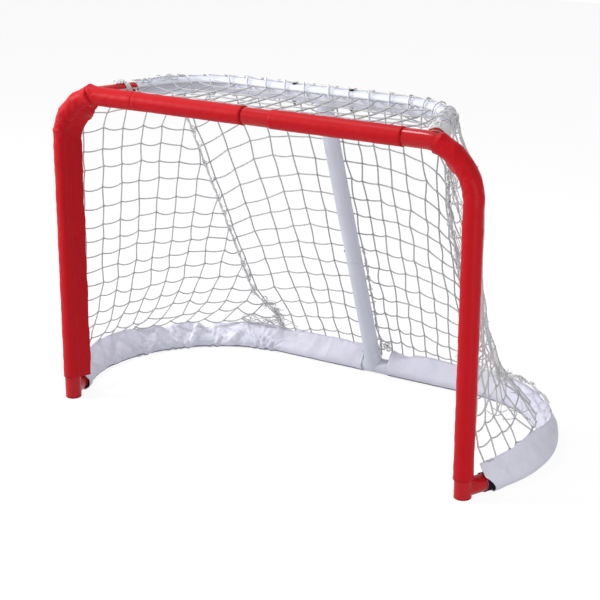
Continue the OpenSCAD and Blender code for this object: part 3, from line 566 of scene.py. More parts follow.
# Short cords that hold it to the net, and the loose loops of its end on the skirt
for n, z in enumerate(np.arange(400, 100, -41)):
    c = point_at(line, string_z, z)
    strings.append(c + np.stack([-7 + 15 * t, -3.0 * np.sin(math.pi * t), 3 * np.sin(5 * t + n)], -1))
for n in range(9):
    c = line[0] + [rng.uniform(-2, 34), rng.uniform(-2, 0), rng.uniform(-6, 14)]
    a = math.tau * t * rng.uniform(0.5, 0.9) + n
    strings.append(c + np.stack([rng.uniform(6, 13) * np.cos(a), 2.0 * np.sin(2 * a), 5 * np.sin(a)], -1))
cords("net_back_string", strings, STRING_R, mat_rope)

# Side nets. Their front edge follows the sleeve: beside the post, round its corner, and then to the shelf
EDGE = SLEEVE_R + CORD_R + 0.5
EDGE_ANGLE = math.radians(50)
EDGE_OUT, EDGE_BACK = EDGE * math.cos(EDGE_ANGLE), EDGE * math.sin(EDGE_ANGLE) + CORD_R
EDGE_BEND = CORNER_R + EDGE_OUT
front_chain = [low_edge(SIDE_LOW_FROM), [POST_X + EDGE_OUT, EDGE_BACK, BASE_Z + TUBE_R + 100]]
for degrees in range(0, 66, 13):
    a = math.radians(degrees)
    front_chain.append([CORNER[0] + EDGE_BEND * math.cos(a), EDGE_BACK, CORNER[1] + EDGE_BEND * math.sin(a)])
front_chain = np.array(front_chain + [high_edge(SIDE_HIGH_FROM)])


def side_points(u, z, side):
    """A side net, as if on the right, at the shares u from its front edge to the seam, at the height z."""
    u, v = np.asarray(u, float)[:, None], share(z)
    low = low_edge(SIDE_LOW_FROM + (SEAM_LOW - SIDE_LOW_FROM) * u[:, 0])
    high = high_edge(SIDE_HIGH_FROM + (SEAM_TOP - SIDE_HIGH_FROM) * u[:, 0])
    chord = low_edge(SIDE_LOW_FROM) + (low_edge(SEAM_LOW) - low_edge(SIDE_LOW_FROM)) * u
    straight = front_chain[0] + (front_chain[-1] - front_chain[0]) * v
    p = chord + (high - chord) * v + (low - chord) * follow(v, side)
    p += (1 - u) * (point_at(front_chain, front_chain[:, 2], min(max(z, NET_LOW), NET_HIGH)) - straight)
    p[:, 0] += bow(z, side) * u[:, 0] ** 4
    return p


def on_side_net(u, z, side):
    """One point of a side net for each share u and height z."""
    return np.array([side_points([a], b, side)[0] for a, b in zip(u, z)])


def side_row(j, side):
    """Points of a row every few millimetres, with their distance from the front edge."""
    us = np.linspace(0, 1, 81)
    zs = row_at_seam(j)
    lift = 10 + 0.035 * zs
    d = distances(side_points(us, min(max(zs + lift, NET_LOW), NET_HIGH), side))
    z = zs + lift * (1 - np.exp(-(d[-1] - d) / 80)) - 16 * np.clip(1 - d / 210, 0, 1) * ramp(zs, 60, 300)
    p = on_side_net(us, np.clip(z, NET_LOW - 20, NET_HIGH + 20), side)
    p[:, 2] = z
    return p, d


for name, sign in SIDES:
    flip = np.array([sign, 1, 1])
    jitter = np.random.default_rng(23 if sign < 0 else 31)
    rows = {j: side_row(j, name) for j in ROWS}
    grid, paths = {}, []
    for j, (p, d) in rows.items():
        pts = [p[0]]
        for i in range(1, int((d[-1] - 12) // PITCH) + 1):
            q = point_at(p, d, i * PITCH)
            rough = 2.2 + (5.0 if name == "right" else 2.0) * max(0, 1 - share(q[2]) * 2.2)
            grid[i, j] = q + jitter.normal(0, [rough * 0.6, rough, rough])
            pts.append(grid[i, j])
        pts = np.array(pts + [p[-1]])
        loose = 2.5 + 4.5 * (1 - share(pts[0][2]))
        bows = [np.array([jitter.normal(0, 1), 0, -jitter.normal(loose, 2.6)]) for _ in pts[1:]]
        paths.append(strand(pts, bows) * flip)
    for i in range(MOST_COLUMNS):
        # Column 0 is the front edge; one that stops short of the top ends on the seam, with the row above
        reached = [j for j in reversed(ROWS) if i == 0 or (i, j) in grid]
        if len(reached) < 2:
            continue
        pts = [grid[i, j] if i else rows[j][0][0] for j in reached]
        if reached[-1] > ROWS[0]:
            pts.append(rows[reached[-1] - 1][0][-1])
        bows = [np.array([0, jitter.normal(0, 1.4), 0]) for _ in pts[1:]]
        paths.append(strand(np.array(pts), bows) * flip)
    centres = [p * flip for p in grid.values()]
    cut_net(f"net_{name}_cords", paths, centres, right=(0.3 * sign, 1.0, 0), up=(0, 0, 1.0))

# Slack strands where the side nets are gathered: along the seam and low on the right, and on both skirts
ON_SKIRT = 84
for name, sign in SIDES:
    slack = np.random.default_rng(301 + sign)
    strands = []
    for _ in range(30 if name == "right" else 0):
        z0 = slack.uniform(330, 830)
        z = np.linspace(z0, z0 - slack.uniform(50, 130), 12)
        u0, u1 = slack.uniform(0.80, 1.0, 2)
        u = np.linspace(u0, u1, 12) - 0.035 * np.abs(np.sin(np.linspace(0, slack.uniform(4, 9), 12)))
        strands.append(on_side_net(u, z, name) + [slack.uniform(-5, 2), 0, 0])
    for _ in range(22 if name == "right" else 0):
        t = np.linspace(0, 1, 12)
        u = slack.uniform(0.08, 0.7) + slack.uniform(0.08, 0.2) * t
        z = slack.uniform(120, 250) + slack.uniform(-45, 45) * t
        z -= 14 * np.sin(math.pi * t) * slack.uniform(0, 1)
        strands.append(on_side_net(u, np.maximum(z, NET_LOW), name) + [slack.uniform(-3, 3), 0, 0])
    count, first = (34, 430) if name == "right" else (16, SEAM_LOW - 130)
    for _ in range(count):
        s0 = slack.uniform(first, SEAM_LOW)
        s = np.linspace(s0, s0 + slack.uniform(25, 75), 14)
        rise, swing = slack.uniform(0, 22), np.linspace(0, slack.uniform(4, 10), 14)
        z = ON_SKIRT + rise + 7 * np.sin(swing + slack.uniform(0, 6))
        strands.append(base.at(s, LOW_O - 9 + (-0.55 * (z - ON_SKIRT) + slack.uniform(-5, 3)), z))
    cords(f"net_{name}_slack", [p * [sign, 1, 1] for p in strands], SLACK_R, mat_rope)

# Top net, level between the crossbar and the shelf
TOP_Z = BAR_Z + 10
top_side = -(math.sqrt(TUBE_R ** 2 - 8 ** 2) + 0.5)
edge = shelf.at(np.linspace(58, shelf.length, 160), top_side - CORD_R, TOP_Z)
top_front = SLEEVE_R + 3


def top_height(x, y):
    """The top net sags a little between the crossbar and the shelf."""
    sag = math.sin(math.pi * min(max((y - top_front) / (SHELF_Y - top_front), 0), 1))
    return TOP_Z - 9 * sag + 1.5 * math.sin(x / 47.0) * sag


def depth_at(x):
    """How far back the top net reaches at x."""
    return float(np.interp(abs(x), edge[::-1, 0], edge[::-1, 1]))


top_rows, top_columns, top_grid = [], [], {}
xs = [k * PITCH + 14 for k in range(-9, 9)]
ys = [top_front + 24 + k * PITCH for k in range(6)]
for i, x in enumerate(xs):
    for j, y in enumerate(ys):
        if y < depth_at(x) - 8 and abs(x) < 480:
            px, py = x + rng.normal(0, 2), y + rng.normal(0, 2)
            top_grid[i, j] = np.array([px, py, top_height(px, py)])
for i, x in enumerate(xs):
    inner = [top_grid[i, j] for j in range(len(ys)) if (i, j) in top_grid]
    if inner:
        pts = np.array([[x, top_front, top_height(x, top_front)]] + inner + [[x, depth_at(x), TOP_Z]])
        bows = [np.array([rng.normal(0, 2), 0, -abs(rng.normal(0, 1.5))]) for _ in pts[1:]]
        top_columns.append(strand(pts, bows))
for j, y in enumerate(ys):
    inner = [top_grid[i, j] for i in range(len(xs)) if (i, j) in top_grid]
    if inner:
        w = float(np.interp(y, edge[:, 1], edge[:, 0]))
        pts = np.array([[-w, y, TOP_Z]] + inner + [[w, y, TOP_Z]])
        bows = [np.array([0, -abs(rng.normal(2, 1.5)), -abs(rng.normal(0, 2))]) for _ in pts[1:]]
        top_rows.append(strand(pts, bows))
border = np.concatenate([edge, edge[::-1] * [-1, 1, 1]])
cords("net_top_cords", top_rows + top_columns + [border], CORD_R, mat_cord)
knots("net_top_cords_knots", top_grid.values(), np.array([1.0, 0, 0]), (0, 1.0, 0), mat_cord)

# Seam cords: two strands wound loosely round each other, knotted at every row
for name, sign in SIDES:
    flip = np.array([sign, 1, 1])
    z = np.arange(NET_LOW, NET_HIGH, 4.0)
    line = np.array([seam_point(q, name) for q in z])
    line[:, 0] += 1.6 * wave(z, 75 + sign, 34)
    paths = []
    for k in range(2):
        a = z / 55 * math.tau + k * math.pi + 0.8 * wave(z, 70 + k + sign, 150)
        r = 2.4 + 1.3 * wave(z, 80 + k, 40)
        paths.append((line + np.stack([r * np.cos(a), r * np.sin(a) * 0.8, np.zeros_like(a)], -1)) * flip)
    ties = []
    for j in ROWS:
        q = row_at_seam(j)
        if NET_LOW + 8 < q < NET_HIGH - 8:
            t = np.linspace(0, math.tau * 2.2, 30)
            c = seam_point(q, name)
            ties.append((c + np.stack([4.0 * np.cos(t), 4.0 * np.sin(t), (t - 6) * 0.8], -1)) * flip)
            for _ in range(2 if q > 330 else 4):
                t = np.linspace(-0.4, math.pi + rng.uniform(0.6, 2.0), 16)
                g, w, lift = rng.uniform(-0.8, 0.8), rng.uniform(5, 10), rng.uniform(-14, 14)
                loop = np.stack([-w * np.sin(t) - 1, w * np.cos(t) * g, -w * np.cos(t) + lift], -1)
                ties.append((c + loop) * flip)
    # The bunch of slack meshes at the seam's foot
    foot = np.random.default_rng(203 + sign)
    foot_low, foot_high = 92, 175
    for _ in range(16):
        zc = foot.uniform(foot_low, foot_high)
        c = seam_point(zc, name) + [foot.uniform(-14, 8) - 0.25 * (zc - foot_low), foot.uniform(-6, 2), 0]
        t = np.linspace(0, foot.uniform(2.5, 5.5), 18)
        w, tall = foot.uniform(6, 15), foot.uniform(5, 12)
        loop = [w * np.cos(t), foot.uniform(-4, 4) * np.sin(2 * t), tall * np.sin(t + 0.7 * np.cos(t))]
        ties.append((c + np.stack(loop, -1)) * flip)
    cords(f"seam_{name}_cord", paths, SEAM_R, mat_rope, pitch=8)
    cords(f"seam_{name}_ties", ties, SEAM_TIE_R, mat_rope)

# ---- shelf: border ropes, lacing, ties ----


def round_shelf(s, angle, r, sign=1):
    """Points at radius r round the shelf tube; angle 0 is outward, 90 is up."""
    a = np.radians(angle)
    p = shelf.at(s, r * np.cos(a), BAR_Z + r * np.sin(a))
    return p * [sign, 1, 1]


BORDER_R, TICK_R = 2.5, 1.6
# Place of each corner tie along the shelf, its slant, and the places of its loops in steps of TIE_STEP
CORNER_TIES = {
    "left": (108, 15, (-1, 0, 1)),
    "right": (84, 24, (-10.4, -8.9, -7.6, -6, -4.6, -3, -1.7, -0.2, 1.2, 2.8, 4.4, 5.8)),
}
TIE_STEP = 4.2
LACING_FROM, LACING_TO, LACING_STEPS = 272, shelf.length - 8, 26

whole = np.linspace(150, shelf.length, 150)
for label, angle, r in (("border", 62, TUBE_R + 3.2), ("border_low", 28, TUBE_R + 3.0)):
    half = round_shelf(whole, angle + 3 * np.sin(whole / 17.5), r + 0.8 * np.sin(whole / 9.0) + 0.8)
    other = half[::-1] * [-1, 1, 1]
    cords("shelf_" + label, [np.concatenate([half, other[1:]])], BORDER_R, mat_rope, pitch=8)


def lacing_helix(sign):
    """The cord wound round the shelf tube, pulled together at each mesh."""
    turns = int((LACING_TO - LACING_FROM) / PITCH)
    t = np.linspace(0, turns, turns * LACING_STEPS + 1)
    s = LACING_FROM + (LACING_TO - LACING_FROM) * (t + 0.16 * np.sin(math.tau * t)) / turns
    return round_shelf(s, 60 - sign * 360 * t, TUBE_R + 6.6 + np.cos(math.tau * t), sign)


def slack_on_shelf(sign, count=13, n=7):
    """Slack strands of the gathered net, each from the tube's top over its outer side and along it."""
    loose = np.random.default_rng(61 if sign < 0 else 67)
    strands = []
    for k in range(count):
        start = SIDE_HIGH_FROM + 4 + (SEAM_TOP - SIDE_HIGH_FROM) * k / count + loose.uniform(-4, 4)
        along = start + np.cumsum(np.concatenate([[0], loose.uniform(2, 13, n - 1)]))
        swing = 115 - np.linspace(0, loose.uniform(110, 200), n) + loose.uniform(-12, 12, n)
        lift = TUBE_R + 3.5 + loose.uniform(0, 5.5, n) + (2.5 if k % 3 == 0 else 0)
        path = point_at(round_shelf(along, swing, lift, sign), np.arange(n), np.linspace(0, n - 1, 30))
        strands.append(smoothed(path, 3))
    t = np.linspace(0, 1, 60)
    s = SIDE_HIGH_FROM + (SEAM_TOP - SIDE_HIGH_FROM) * t
    return strands + [round_shelf(s, a + 14 * np.sin(9 * t + a), TUBE_R + g, sign)
                      for a, g in ((70, 5.0), (30, 6.5), (100, 4.5))]


def shelf_ticks(sign):
    """A slanting loop on the upper outer side of the shelf tube at each mesh."""
    t, tilt = np.linspace(0, math.tau * 1.6, 22)[:, None], math.radians(45)
    up, off = np.array([0, 0, 1.0]), TUBE_R + 3.1
    ticks = []
    for q in np.arange(LACING_FROM + 6, LACING_TO, PITCH):
        h = np.interp(q, shelf.s, shelf.h)
        outward, along = np.array([math.sin(h), -math.cos(h), 0]), np.array([math.cos(h), math.sin(h), 0])
        mid = shelf.at(q, 0, BAR_Z) + outward * off * math.cos(tilt) + up * (off * math.sin(tilt))
        slope = up * math.sin(-tilt) + outward * math.cos(tilt)
        thick = up * math.cos(-tilt) + outward * math.sin(tilt)
        loop = mid + slope * (11.0 * np.cos(t)) + thick * (4.4 * np.sin(t)) + along * (t * 0.6)
        ticks.append(loop * [sign, 1, 1])
    return ticks


def corner_tie(name, sign):
    """The cord wound round the red shelf stub, and the loose loops in front of it."""
    t = np.linspace(0, 1, 60)
    at, slant, loops = CORNER_TIES[name]
    sway = slant * (1 - np.cos(math.tau * t)) / 2
    tie = [round_shelf(at + TIE_STEP * k + sway - slant / 2, 110 - 360 * t,
                       TUBE_R + 2.8 + 0.6 * (n % 2) + 0.7 * np.sin(6 * math.pi * t + n), sign)
           for n, k in enumerate(loops)]
    for k in range(3):
        a = math.tau * t * 0.8 + k
        c = round_shelf(np.array([at - 16 - 9 * k]), np.array([88.0]), TUBE_R + 4, sign)[0]
        tie.append(c + np.stack([7 * np.cos(a), 3 * np.sin(a), 5 * np.sin(a) + 2], -1) * [sign, 1, 1])
    return tie


for name, sign in SIDES:
    cords(f"lacing_{name}", [lacing_helix(sign)], LACING_R, mat_rope)
    cords(f"lacing_{name}_slack", slack_on_shelf(sign), SLACK_R, mat_rope)
    cords(f"shelf_{name}_ticks", shelf_ticks(sign), TICK_R, mat_rope)
    cords(f"corner_tie_{name}", corner_tie(name, sign), LACING_R, mat_rope)

# ---- fabric sleeves ----

SLEEVE_THICK, THREAD_R = 1.0, 0.35
# Degrees once round a sleeve, from its closing seam
FIN_STEPS = np.array([0, 1.2, 2.5, 4, 6, 9])
ROUND = np.unique(np.concatenate([np.linspace(0, 360, 61), FIN_STEPS, 360 - FIN_STEPS]))


def post_sleeve(name, sign, hem, end, seed, fin, faces, peak, crisp):
    """A sleeve round post and corner, from the height hem to the distance end from the middle.

    fin: degrees along the bend, length and direction of the closing seam; 0 is outward and 270 is backward.
    faces: degrees of the flat faces that the stiff cloth takes round the bend; peak: place, height and width.
    crisp: how marked faces, folds and creases are.
    """
    rise = CORNER[1] - hem
    bend = CORNER_R * math.pi / 2
    total = rise + bend + POST_X - CORNER_R - end
    s = np.unique(np.concatenate([np.arange(0, rise, 9.0), np.arange(rise, rise + bend, 1.6),
                                  np.arange(rise + bend, total, 6.0), [total]]))
    s = s[s <= total]
    phi = np.clip((s - rise) / CORNER_R, 0, math.pi / 2)
    ax = np.where(s < rise, POST_X, CORNER[0] + CORNER_R * np.cos(phi)) - np.maximum(s - rise - bend, 0)
    az = np.where(s < rise, hem + s, CORNER[1] + CORNER_R * np.sin(phi))
    nx, nz = np.cos(phi), np.sin(phi)
    deg = np.degrees((s - rise) / CORNER_R)
    keys = np.array(fin, float)
    tip = np.interp(deg, keys[:, 0], keys[:, 1]) + 1.6 * wave(s, seed, 90) * (deg < 70)
    tip = np.maximum(tip, SLEEVE_R + 0.05)
    side = np.interp(deg, keys[:, 0], keys[:, 2])
    S = np.broadcast_to(s[:, None], (len(s), len(ROUND)))
    D = np.broadcast_to(deg[:, None], S.shape)
    T = np.radians(side[:, None] + ROUND[None, :])
    psi = np.radians(np.minimum(ROUND, 360 - ROUND))[None, :]
    alpha = np.arccos(SLEEVE_R / tip)[:, None]
    on_fin = psi < alpha
    r = np.where(on_fin, SLEEVE_R / np.cos(np.clip(alpha - psi, 0, 1.55)), SLEEVE_R)
    hollow = 3.0 * np.sin(math.pi * np.clip(psi / np.maximum(alpha, 1e-3), 0, 1)) * (alpha > 0.4)
    r -= np.where(on_fin, hollow, 0)
    outer, front = np.clip(np.cos(T), 0, 1), np.clip(np.sin(T), 0, 1)
    # Flat faces round the outside of the bend, with crisp edges between them
    turn, outside = np.clip(D, faces[0], faces[-1]), CORNER_R + SLEEVE_R
    flat = np.min([outside / np.cos(np.radians(turn - f)) for f in faces], 0) - CORNER_R - SLEEVE_R
    r += np.maximum(flat, 0) * (outer ** 0.8 + 0.35 * front) * crisp
    # Folds pressed together along the inside of the bend
    folds = np.abs(np.sin(D / 90 * 6.5 * math.pi + 0.9 * np.sin(3 * T) + seed))
    fade = np.sin(np.radians(np.clip(D, 0, 90)) * 2) ** 0.5
    r += ((D > 0) & (D < 90)) * np.clip(-np.cos(T), 0, 1) * 1.7 * crisp * folds * fade
    # The peak of cloth beside the shelf stub, and the sharp fold under it
    at, high, wide = peak
    up = np.clip(np.cos(T - 0.25), 0, 1)
    r += high * np.exp(-np.abs(D - at) / wide) * up ** 2
    if sign < 0:
        r += 3.5 * hump(D - at, 1.8 * wide) * front
        r -= 5.0 * hump(D - at - 4 + 5 * np.cos(T), 1.5) * front ** 0.5
    # Soft waves and short slanting creases along the post
    w = 0.6 * wave(S + 20 * psi, seed + 1, 60) + 0.45 * wave(S * 1.3 - 30 * psi, seed + 2, 23)
    r += np.maximum(w, -0.4) * (1 + 0.8 * hump(S - rise, 90)) + 0.6
    for at in (rise - 134, rise - 55, rise + 32, rise + 60):
        slant = S - at + 8 * np.cos(T - 0.5)
        near = np.clip(np.cos(T - 1.6), 0, 1) ** 3 * crisp
        r += (1.9 * hump(slant, 4) - 1.5 * hump(slant + 6, 2.6)) * near
    r = np.maximum(r, TUBE_R + 0.9)
    # Rolled hem at the foot; the left sleeve ends flush with the crossbar's sleeve
    r += 0.9 * hump(S - 3, 3.5)
    if sign < 0:
        r += (JOIN_R - r) * hump(total - S, 9)
    grid = np.stack([ax[:, None] + nx[:, None] * r * np.cos(T), -r * np.sin(T),
                     az[:, None] + nz[:, None] * r * np.cos(T)], -1)
    ob = sheet_piece(name, grid * [sign, 1, 1], SLEEVE_THICK, mat_sleeve)
    # Stitches beside the closing seam
    stitches = []
    for q in np.arange(8, rise + 40, 7.0):
        row = int(np.searchsorted(s, q))
        for edge in (9, 351):
            col = int(np.argmin(np.abs(ROUND - edge)))
            p, step = grid[row, col], grid[row + 1, col] - grid[row, col]
            step = step / np.linalg.norm(step)
            away = np.cross(step, grid[row, col + 1] - grid[row, col - 1])
            away /= np.linalg.norm(away)
            away *= 1 if away @ (p - [ax[row], 0, az[row]]) > 0 else -1
            stitch = np.array([p + away * 0.5, p + step * 2 + away, p + step * 4 + away * 0.5])
            stitches.append(stitch * [sign, 1, 1])
    cords(name + "_stitches", stitches, THREAD_R, mat_thread, sides=5)


def bar_sleeve(name, x0, x1, seed):
    """A sleeve round the crossbar from x0 to x1; the left one's outer end lies flush with the post's."""
    s = np.arange(x0, x1 + 0.1, 6.0)
    s[-1] = x1
    S, away = np.meshgrid(s, np.radians(np.linspace(0, 360, 49)), indexing="ij")
    T, near = away + math.radians(250), np.minimum(away, math.tau - away)
    slow, quick = wave(S + 25 * near, seed, 60), wave(S * 2 - 40 * near, seed + 1, 30)
    r = SLEEVE_R + 0.4 * np.maximum(slow, -0.6) + 0.25 * quick
    # Hems, and the closing seam
    r += 0.5 * (x0 > 0) * hump(S - x0 - 3, 3.5) + 0.5 * hump(S - x1 + 3, 3.5)
    r += 2.0 * hump(near, 0.07)
    if x0 < 0:
        r += (JOIN_R - r) * hump(S - x0, 9)
    grid = np.stack([S, -r * np.sin(T), BAR_Z + r * np.cos(T)], -1)
    ob = sheet_piece(name, grid, SLEEVE_THICK, mat_sleeve)


lo, hi = box("left_post_sleeve")
post_sleeve("sleeve_post_left", -1, lo[2], -hi[0], 5,
            faces=(0, 22, 46.5, 69.5, 90), peak=(80, 8, 4), crisp=0.75,
            fin=((0, 50, 225), (16, 52, 225), (44, 60, 222), (68, 47, 200), (82, 33, 190), (89, 24, 186)))
lo, hi = box("right_post_sleeve")
RIGHT_SLEEVE_END = 515
post_sleeve("sleeve_post_right", 1, lo[2], RIGHT_SLEEVE_END, 9,
            faces=(0, 11, 28.5, 46, 63, 80), peak=(71.5, 4, 3), crisp=0.6,
            fin=((0, 50, 225), (20, 48, 220), (44, 49, 205), (57, 36, 195), (74, 24, 188)))
for name, seed in (("left", 13), ("right", 17)):
    lo, hi = box(name + "_bar_sleeve")
    bar_sleeve("sleeve_bar_" + name, lo[0] - (0.9 if name == "left" else 0), hi[0], seed)

# ---- skirts ----

# Start, distance of the end from the middle, extra height near the front, dips of the top edge, notches
SKIRTS = {
    "left": (48, 29, 17, ((480, 14, 20), (603, 24, 20), (655, 8, 35), (876, 9, 40)),
             (385, 490, 530, 621, 765, 800)),
    "right": (46, 52, 24, ((560, 10, 40), (907, 5, 50), (1068, 14, 34)), (300,)),
}
RING = 56
SKIRT_R = TUBE_R + 1.6
SKIRT_TOP = 79
# Of these, the second sizes the band of painted shade inside the skirt ends and the last the line of painted
# shadow under the skirts
SKIRT_THICK, PAINTED_SHADE_THICK, HEM_R, SHADOW_LINE_R = 1.2, 0.8, 1.5, 1.4
# Slopes of the creases that fan up from a notch
FAN = (-1.25, -0.7, -0.25, 0.3, 0.85, 1.4)


def skirt_section(lip, flap, top, sag, opening):
    """A skirt's section: down its inner face, round under the tube and up its outer face.

    lip and flap: the two top edges, outward of the tube; opening: 1 at the open front end, 0 away from it.
    """
    a = np.radians(np.linspace(165, 375, 24))
    rad = SKIRT_R + 2.6 * np.clip((np.degrees(a) - 285) / 90, 0, 1) + 4.5 * opening
    wide = 9 * opening
    key = np.concatenate([
        [[lip, top], [lip * 0.62 - SKIRT_R * 0.33 - sag - wide, top * 0.74],
         [lip * 0.28 - SKIRT_R * 0.66 - sag - wide, top * 0.45]],
        np.stack([rad * np.cos(a), rad * np.sin(a)], -1),
        [[flap + 14 + wide, top * 0.5], [flap + 4 + wide * 0.8, top * 0.78], [flap, top]]])
    run = distances(key)
    return smoothed(point_at(key, run, np.linspace(0, 1, RING) * run[-1]), 2)


def skirt_folds(S, K, seed, notches, strength):
    """Lift of the folds and creases at the distance S along the base and the share K of the section."""
    up_in, up_out = np.clip((0.42 - K) * 210, 0, None), np.clip((K - 0.66) * 230, 0, None)
    face = (np.clip(up_in / 18, 0, 1) * np.clip((88 - up_in) / 22, 0, 1)
            + np.clip(up_out / 18, 0, 1) * np.clip((80 - up_out) / 22, 0, 1))
    calm = 1 - 0.72 * ramp(S, 600, 840)
    folds = (7.0 * wave(S + 140 * K, seed + 3, 60) + 3.6 * wave(S - 260 * K, seed + 4, 34)
             + 0.9 * wave(S + 60 * K, seed + 5, 14)) * face * calm * strength
    # Creases of the inner face that fan up from the places where the cloth is pulled to the tube
    up, inner = np.where(K < 0.5, up_in, up_out), K < 0.5
    for n, at in enumerate(notches):
        for m in FAN:
            off = S - at - (m + 0.12 * math.sin(3 * n + 5 * m)) * up
            fade = np.exp(-up / 55) * np.clip((up - 3) / 12, 0, 1) * inner
            folds += (4.0 * hump(off - 9, 6 + 0.05 * up) - 7.0 * hump(off, 4.2)) * fade
        folds += 2.6 * hump(np.abs(S - at) - 11, 6) * np.exp(-up / 14) * inner
    return np.maximum(folds, -1.2 - 6 * face)


for name, sign in SIDES:
    flip = [sign, 1, 1]
    seed, strength, waviness = (100, 1, 1) if sign < 0 else (140, 0.3, 0.5)
    start, end, front_rise, dips, notches = SKIRTS[name]
    s = np.arange(start, base.length - end, 3.0)
    opening = hump(s - start, 70)
    top = SKIRT_TOP + front_rise * hump(s - 250, 130) - BASE_Z
    top = top + (1.6 * wave(s, seed, 70) + 1.3 * wave(s, seed + 1, 24)) * waviness
    for at, deep, wide in dips:
        top -= deep * hump(s - at, wide)
    sag = 2.5 * wave(s, seed + 2, 60)
    lip, flap = (-top * math.tan(LEAN) + (NET_OFF + off) / math.cos(LEAN) for off in (-1.2, 1.4))
    rings = np.array([skirt_section(*at) for at in zip(lip, flap, top, sag, opening)])
    S, K = np.meshgrid(s, np.linspace(0, 1, RING), indexing="ij")
    grow = 1 + skirt_folds(S, K, seed, notches, strength) / np.maximum(np.linalg.norm(rings, axis=2), 8)
    # The open front end is cut at a slant: its lower side ends further back, the right one's inner side too
    slant = 41 * np.clip(1 - ((BASE_Z + rings[..., 1]) / 54) ** 2, 0, 1) * opening[:, None]
    cut = slant + 34 * np.clip((0.4 - K) / 0.2, 0, 1) * hump(S - start, 110)
    cut = cut if sign > 0 else 0.25 * slant
    p = base.at(S + cut, rings[..., 0] * grow, BASE_Z + rings[..., 1] * grow)
    p[..., 2] = np.maximum(p[..., 2], 1.0)
    ob = sheet_piece(f"skirt_{name}_cloth", p * flip, SKIRT_THICK, mat_skirt)
    cords(f"skirt_{name}_hem", [edge * flip for edge in (p[:, 0], p[:, -1], p[0])], HEM_R, mat_skirt, sides=6)
    # Painted shadow: a dark cord along the bottom of the skirt under the tube's inner side, which stands in
    # for the skirt's contact shadow on the floor
    cords(f"skirt_{name}_seam", [p[:, 22] * flip + [0, 0, -0.5]], SHADOW_LINE_R, mat_painted_shadow, sides=6)
    # Painted shade: a near-black band round the tube inside the skirt's open end, behind the red stub, which
    # stands in for the shadow in there
    q, a = np.meshgrid(np.arange(62.3, 112, 4.0), np.radians(np.linspace(0, 360, 37)), indexing="ij")
    rad = TUBE_R + 1.7 + 0.3 * np.sin(q / 3.0)
    band = base.at(q, rad * np.cos(a), BASE_Z + rad * np.sin(a))
    sheet_piece(f"skirt_{name}_painted_shade", band * flip, PAINTED_SHADE_THICK, mat_painted_shade)

# ---- which CAD nodes these stand for ----

STANDS_FOR = {"net_back_cords": "net_back", "net_top_cords": "net_top", "shelf_border": "shelf_rope"}
for side in ("left", "right"):
    STANDS_FOR[f"net_{side}_cords"] = f"net_{side}"
    STANDS_FOR[f"seam_{side}_cord"] = f"{side}_seam_cord"
    STANDS_FOR[f"skirt_{side}_cloth"] = f"{side}_skirt"
    for kind in ("lacing", "corner_tie"):
        STANDS_FOR[f"{kind}_{side}"] = f"{side}_{kind}"
    for kind in ("post", "bar"):
        STANDS_FOR[f"sleeve_{kind}_{side}"] = f"{side}_{kind}_sleeve"
for ob in made:
    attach(ob, "root")
    if ob.name in STANDS_FOR:
        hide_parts(STANDS_FOR[ob.name])

# ---- stage ----


def ray_is(m, *kinds):
    """1 for a ray of one of these kinds, such as "Is Camera Ray", or else 0."""
    rays = node(m, "ShaderNodeLightPath").outputs
    found = rays[kinds[0]]
    for kind in kinds[1:]:
        found = maths(m, "MAXIMUM", found, rays[kind])
    return found


FLOOR_OUT = 9000
floor = piece("floor", FLOOR_OUT * np.array([[-1, -1, 0], [1, -1, 0], [1, 1, 0], [-1, 1, 0]]), [[0, 1, 2, 3]])
made.remove(floor)

# The floor is seen near white and shows the object's shadow, and lights the object as a plain pale floor
mat_floor = bpy.data.materials.new("pale_floor")
mat_floor.use_nodes = True
mat_floor.node_tree.nodes.clear()
shaded = node(mat_floor, "ShaderNodeBsdfDiffuse", Color=(0.16, 0.16, 0.16, 1))
glow = node(mat_floor, "ShaderNodeEmission", Strength=0.9)
plain = node(mat_floor, "ShaderNodeBsdfDiffuse", Color=(0.7, 0.7, 0.72, 1))
seen, pick = node(mat_floor, "ShaderNodeAddShader"), node(mat_floor, "ShaderNodeMixShader")
for source, target in ((shaded.outputs[0], seen.inputs[0]), (glow.outputs[0], seen.inputs[1]),
                       (ray_is(mat_floor, "Is Camera Ray", "Is Glossy Ray"), pick.inputs[0]),
                       (plain.outputs[0], pick.inputs[1]), (seen.outputs[0], pick.inputs[2]),
                       (pick.outputs[0], node(mat_floor, "ShaderNodeOutputMaterial").inputs[0])):
    link(mat_floor, source, target)
floor.data.materials.append(mat_floor)

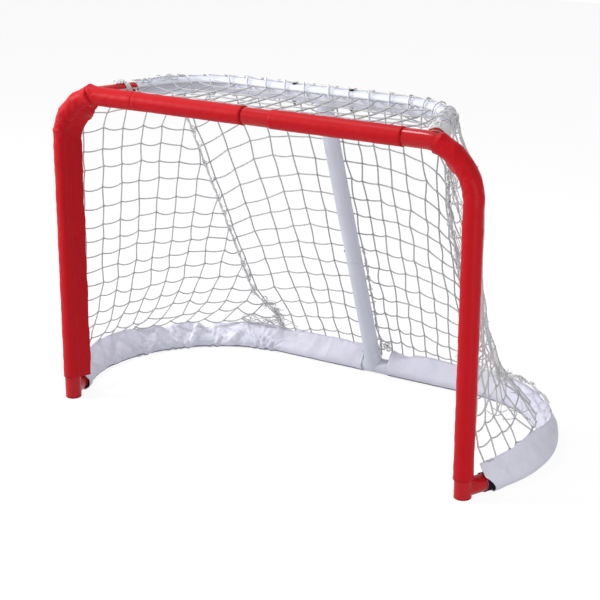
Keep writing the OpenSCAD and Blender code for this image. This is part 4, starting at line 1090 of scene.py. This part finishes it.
# The world is white where it is seen, and a weaker even light on the object
WORLD_LIGHT, WORLD_SEEN = 0.28, 1.0
world = bpy.data.worlds.new("studio")
bpy.context.scene.world = world
world.use_nodes = True
background = world.node_tree.nodes["Background"]
background.inputs["Color"].default_value = (1, 1, 1, 1)
level = node(world, "ShaderNodeMapRange", To_Min=WORLD_LIGHT, To_Max=WORLD_SEEN)
link(world, ray_is(world, "Is Camera Ray", "Is Glossy Ray", "Is Transmission Ray"), level.inputs["Value"])
link(world, level.outputs[0], background.inputs["Strength"])


def lamp(name, place, aim, size, watts):
    """A round area lamp at a place in metres, turned to the point aim."""
    data = bpy.data.lights.new(name, "AREA")
    data.shape = "DISK"
    data.size = size
    data.energy = watts
    ob = bpy.data.objects.new(name, data)
    ob.location = place
    ob.rotation_euler = (Vector(aim) - Vector(place)).to_track_quat("-Z", "Y").to_euler()
    bpy.context.scene.collection.objects.link(ob)


lamp("key", (-3.4, -2.3, 2.3), (0, 0, 0.45), 1.6, 150)
lamp("fill", (2.3, -1.5, 0.8), (0, 0, 0.35), 0.7, 20)
lamp("top", (-1.0, -0.5, 3.8), (0, 0.1, 0.3), 1.0, 60)

# ---- camera: the photograph's viewing angle ----

AZIMUTH, ELEVATION, ROLL = (math.radians(a) for a in (32.661, 17.913, 0.188))
CAMERA_AT = (2154.49, -3136.49, 1624.01)
FOCAL_PX, IMAGE_PX, SENSOR = 1571.656, 600, 36

level_x, level_y = -math.sin(AZIMUTH) * math.cos(ELEVATION), math.cos(AZIMUTH) * math.cos(ELEVATION)
forward = np.array([level_x, level_y, -math.sin(ELEVATION)])
right = np.array([math.cos(AZIMUTH), math.sin(AZIMUTH), 0])
up = np.cross(right, forward)
right, up = right * math.cos(ROLL) + up * math.sin(ROLL), -right * math.sin(ROLL) + up * math.cos(ROLL)
camera_data = bpy.data.cameras.new("camera")
camera_data.sensor_width = SENSOR
camera_data.lens = FOCAL_PX / IMAGE_PX * SENSOR
camera = bpy.data.objects.new("camera", camera_data)
bpy.context.scene.collection.objects.link(camera)
matrix = Matrix.Identity(4)
for k in range(3):
    matrix[k][0], matrix[k][1], matrix[k][2] = right[k], up[k], -forward[k]
    matrix[k][3] = out(CAMERA_AT)[k]
camera.matrix_world = matrix
bpy.context.scene.camera = camera
bpy.context.scene.view_settings.view_transform = "Standard"
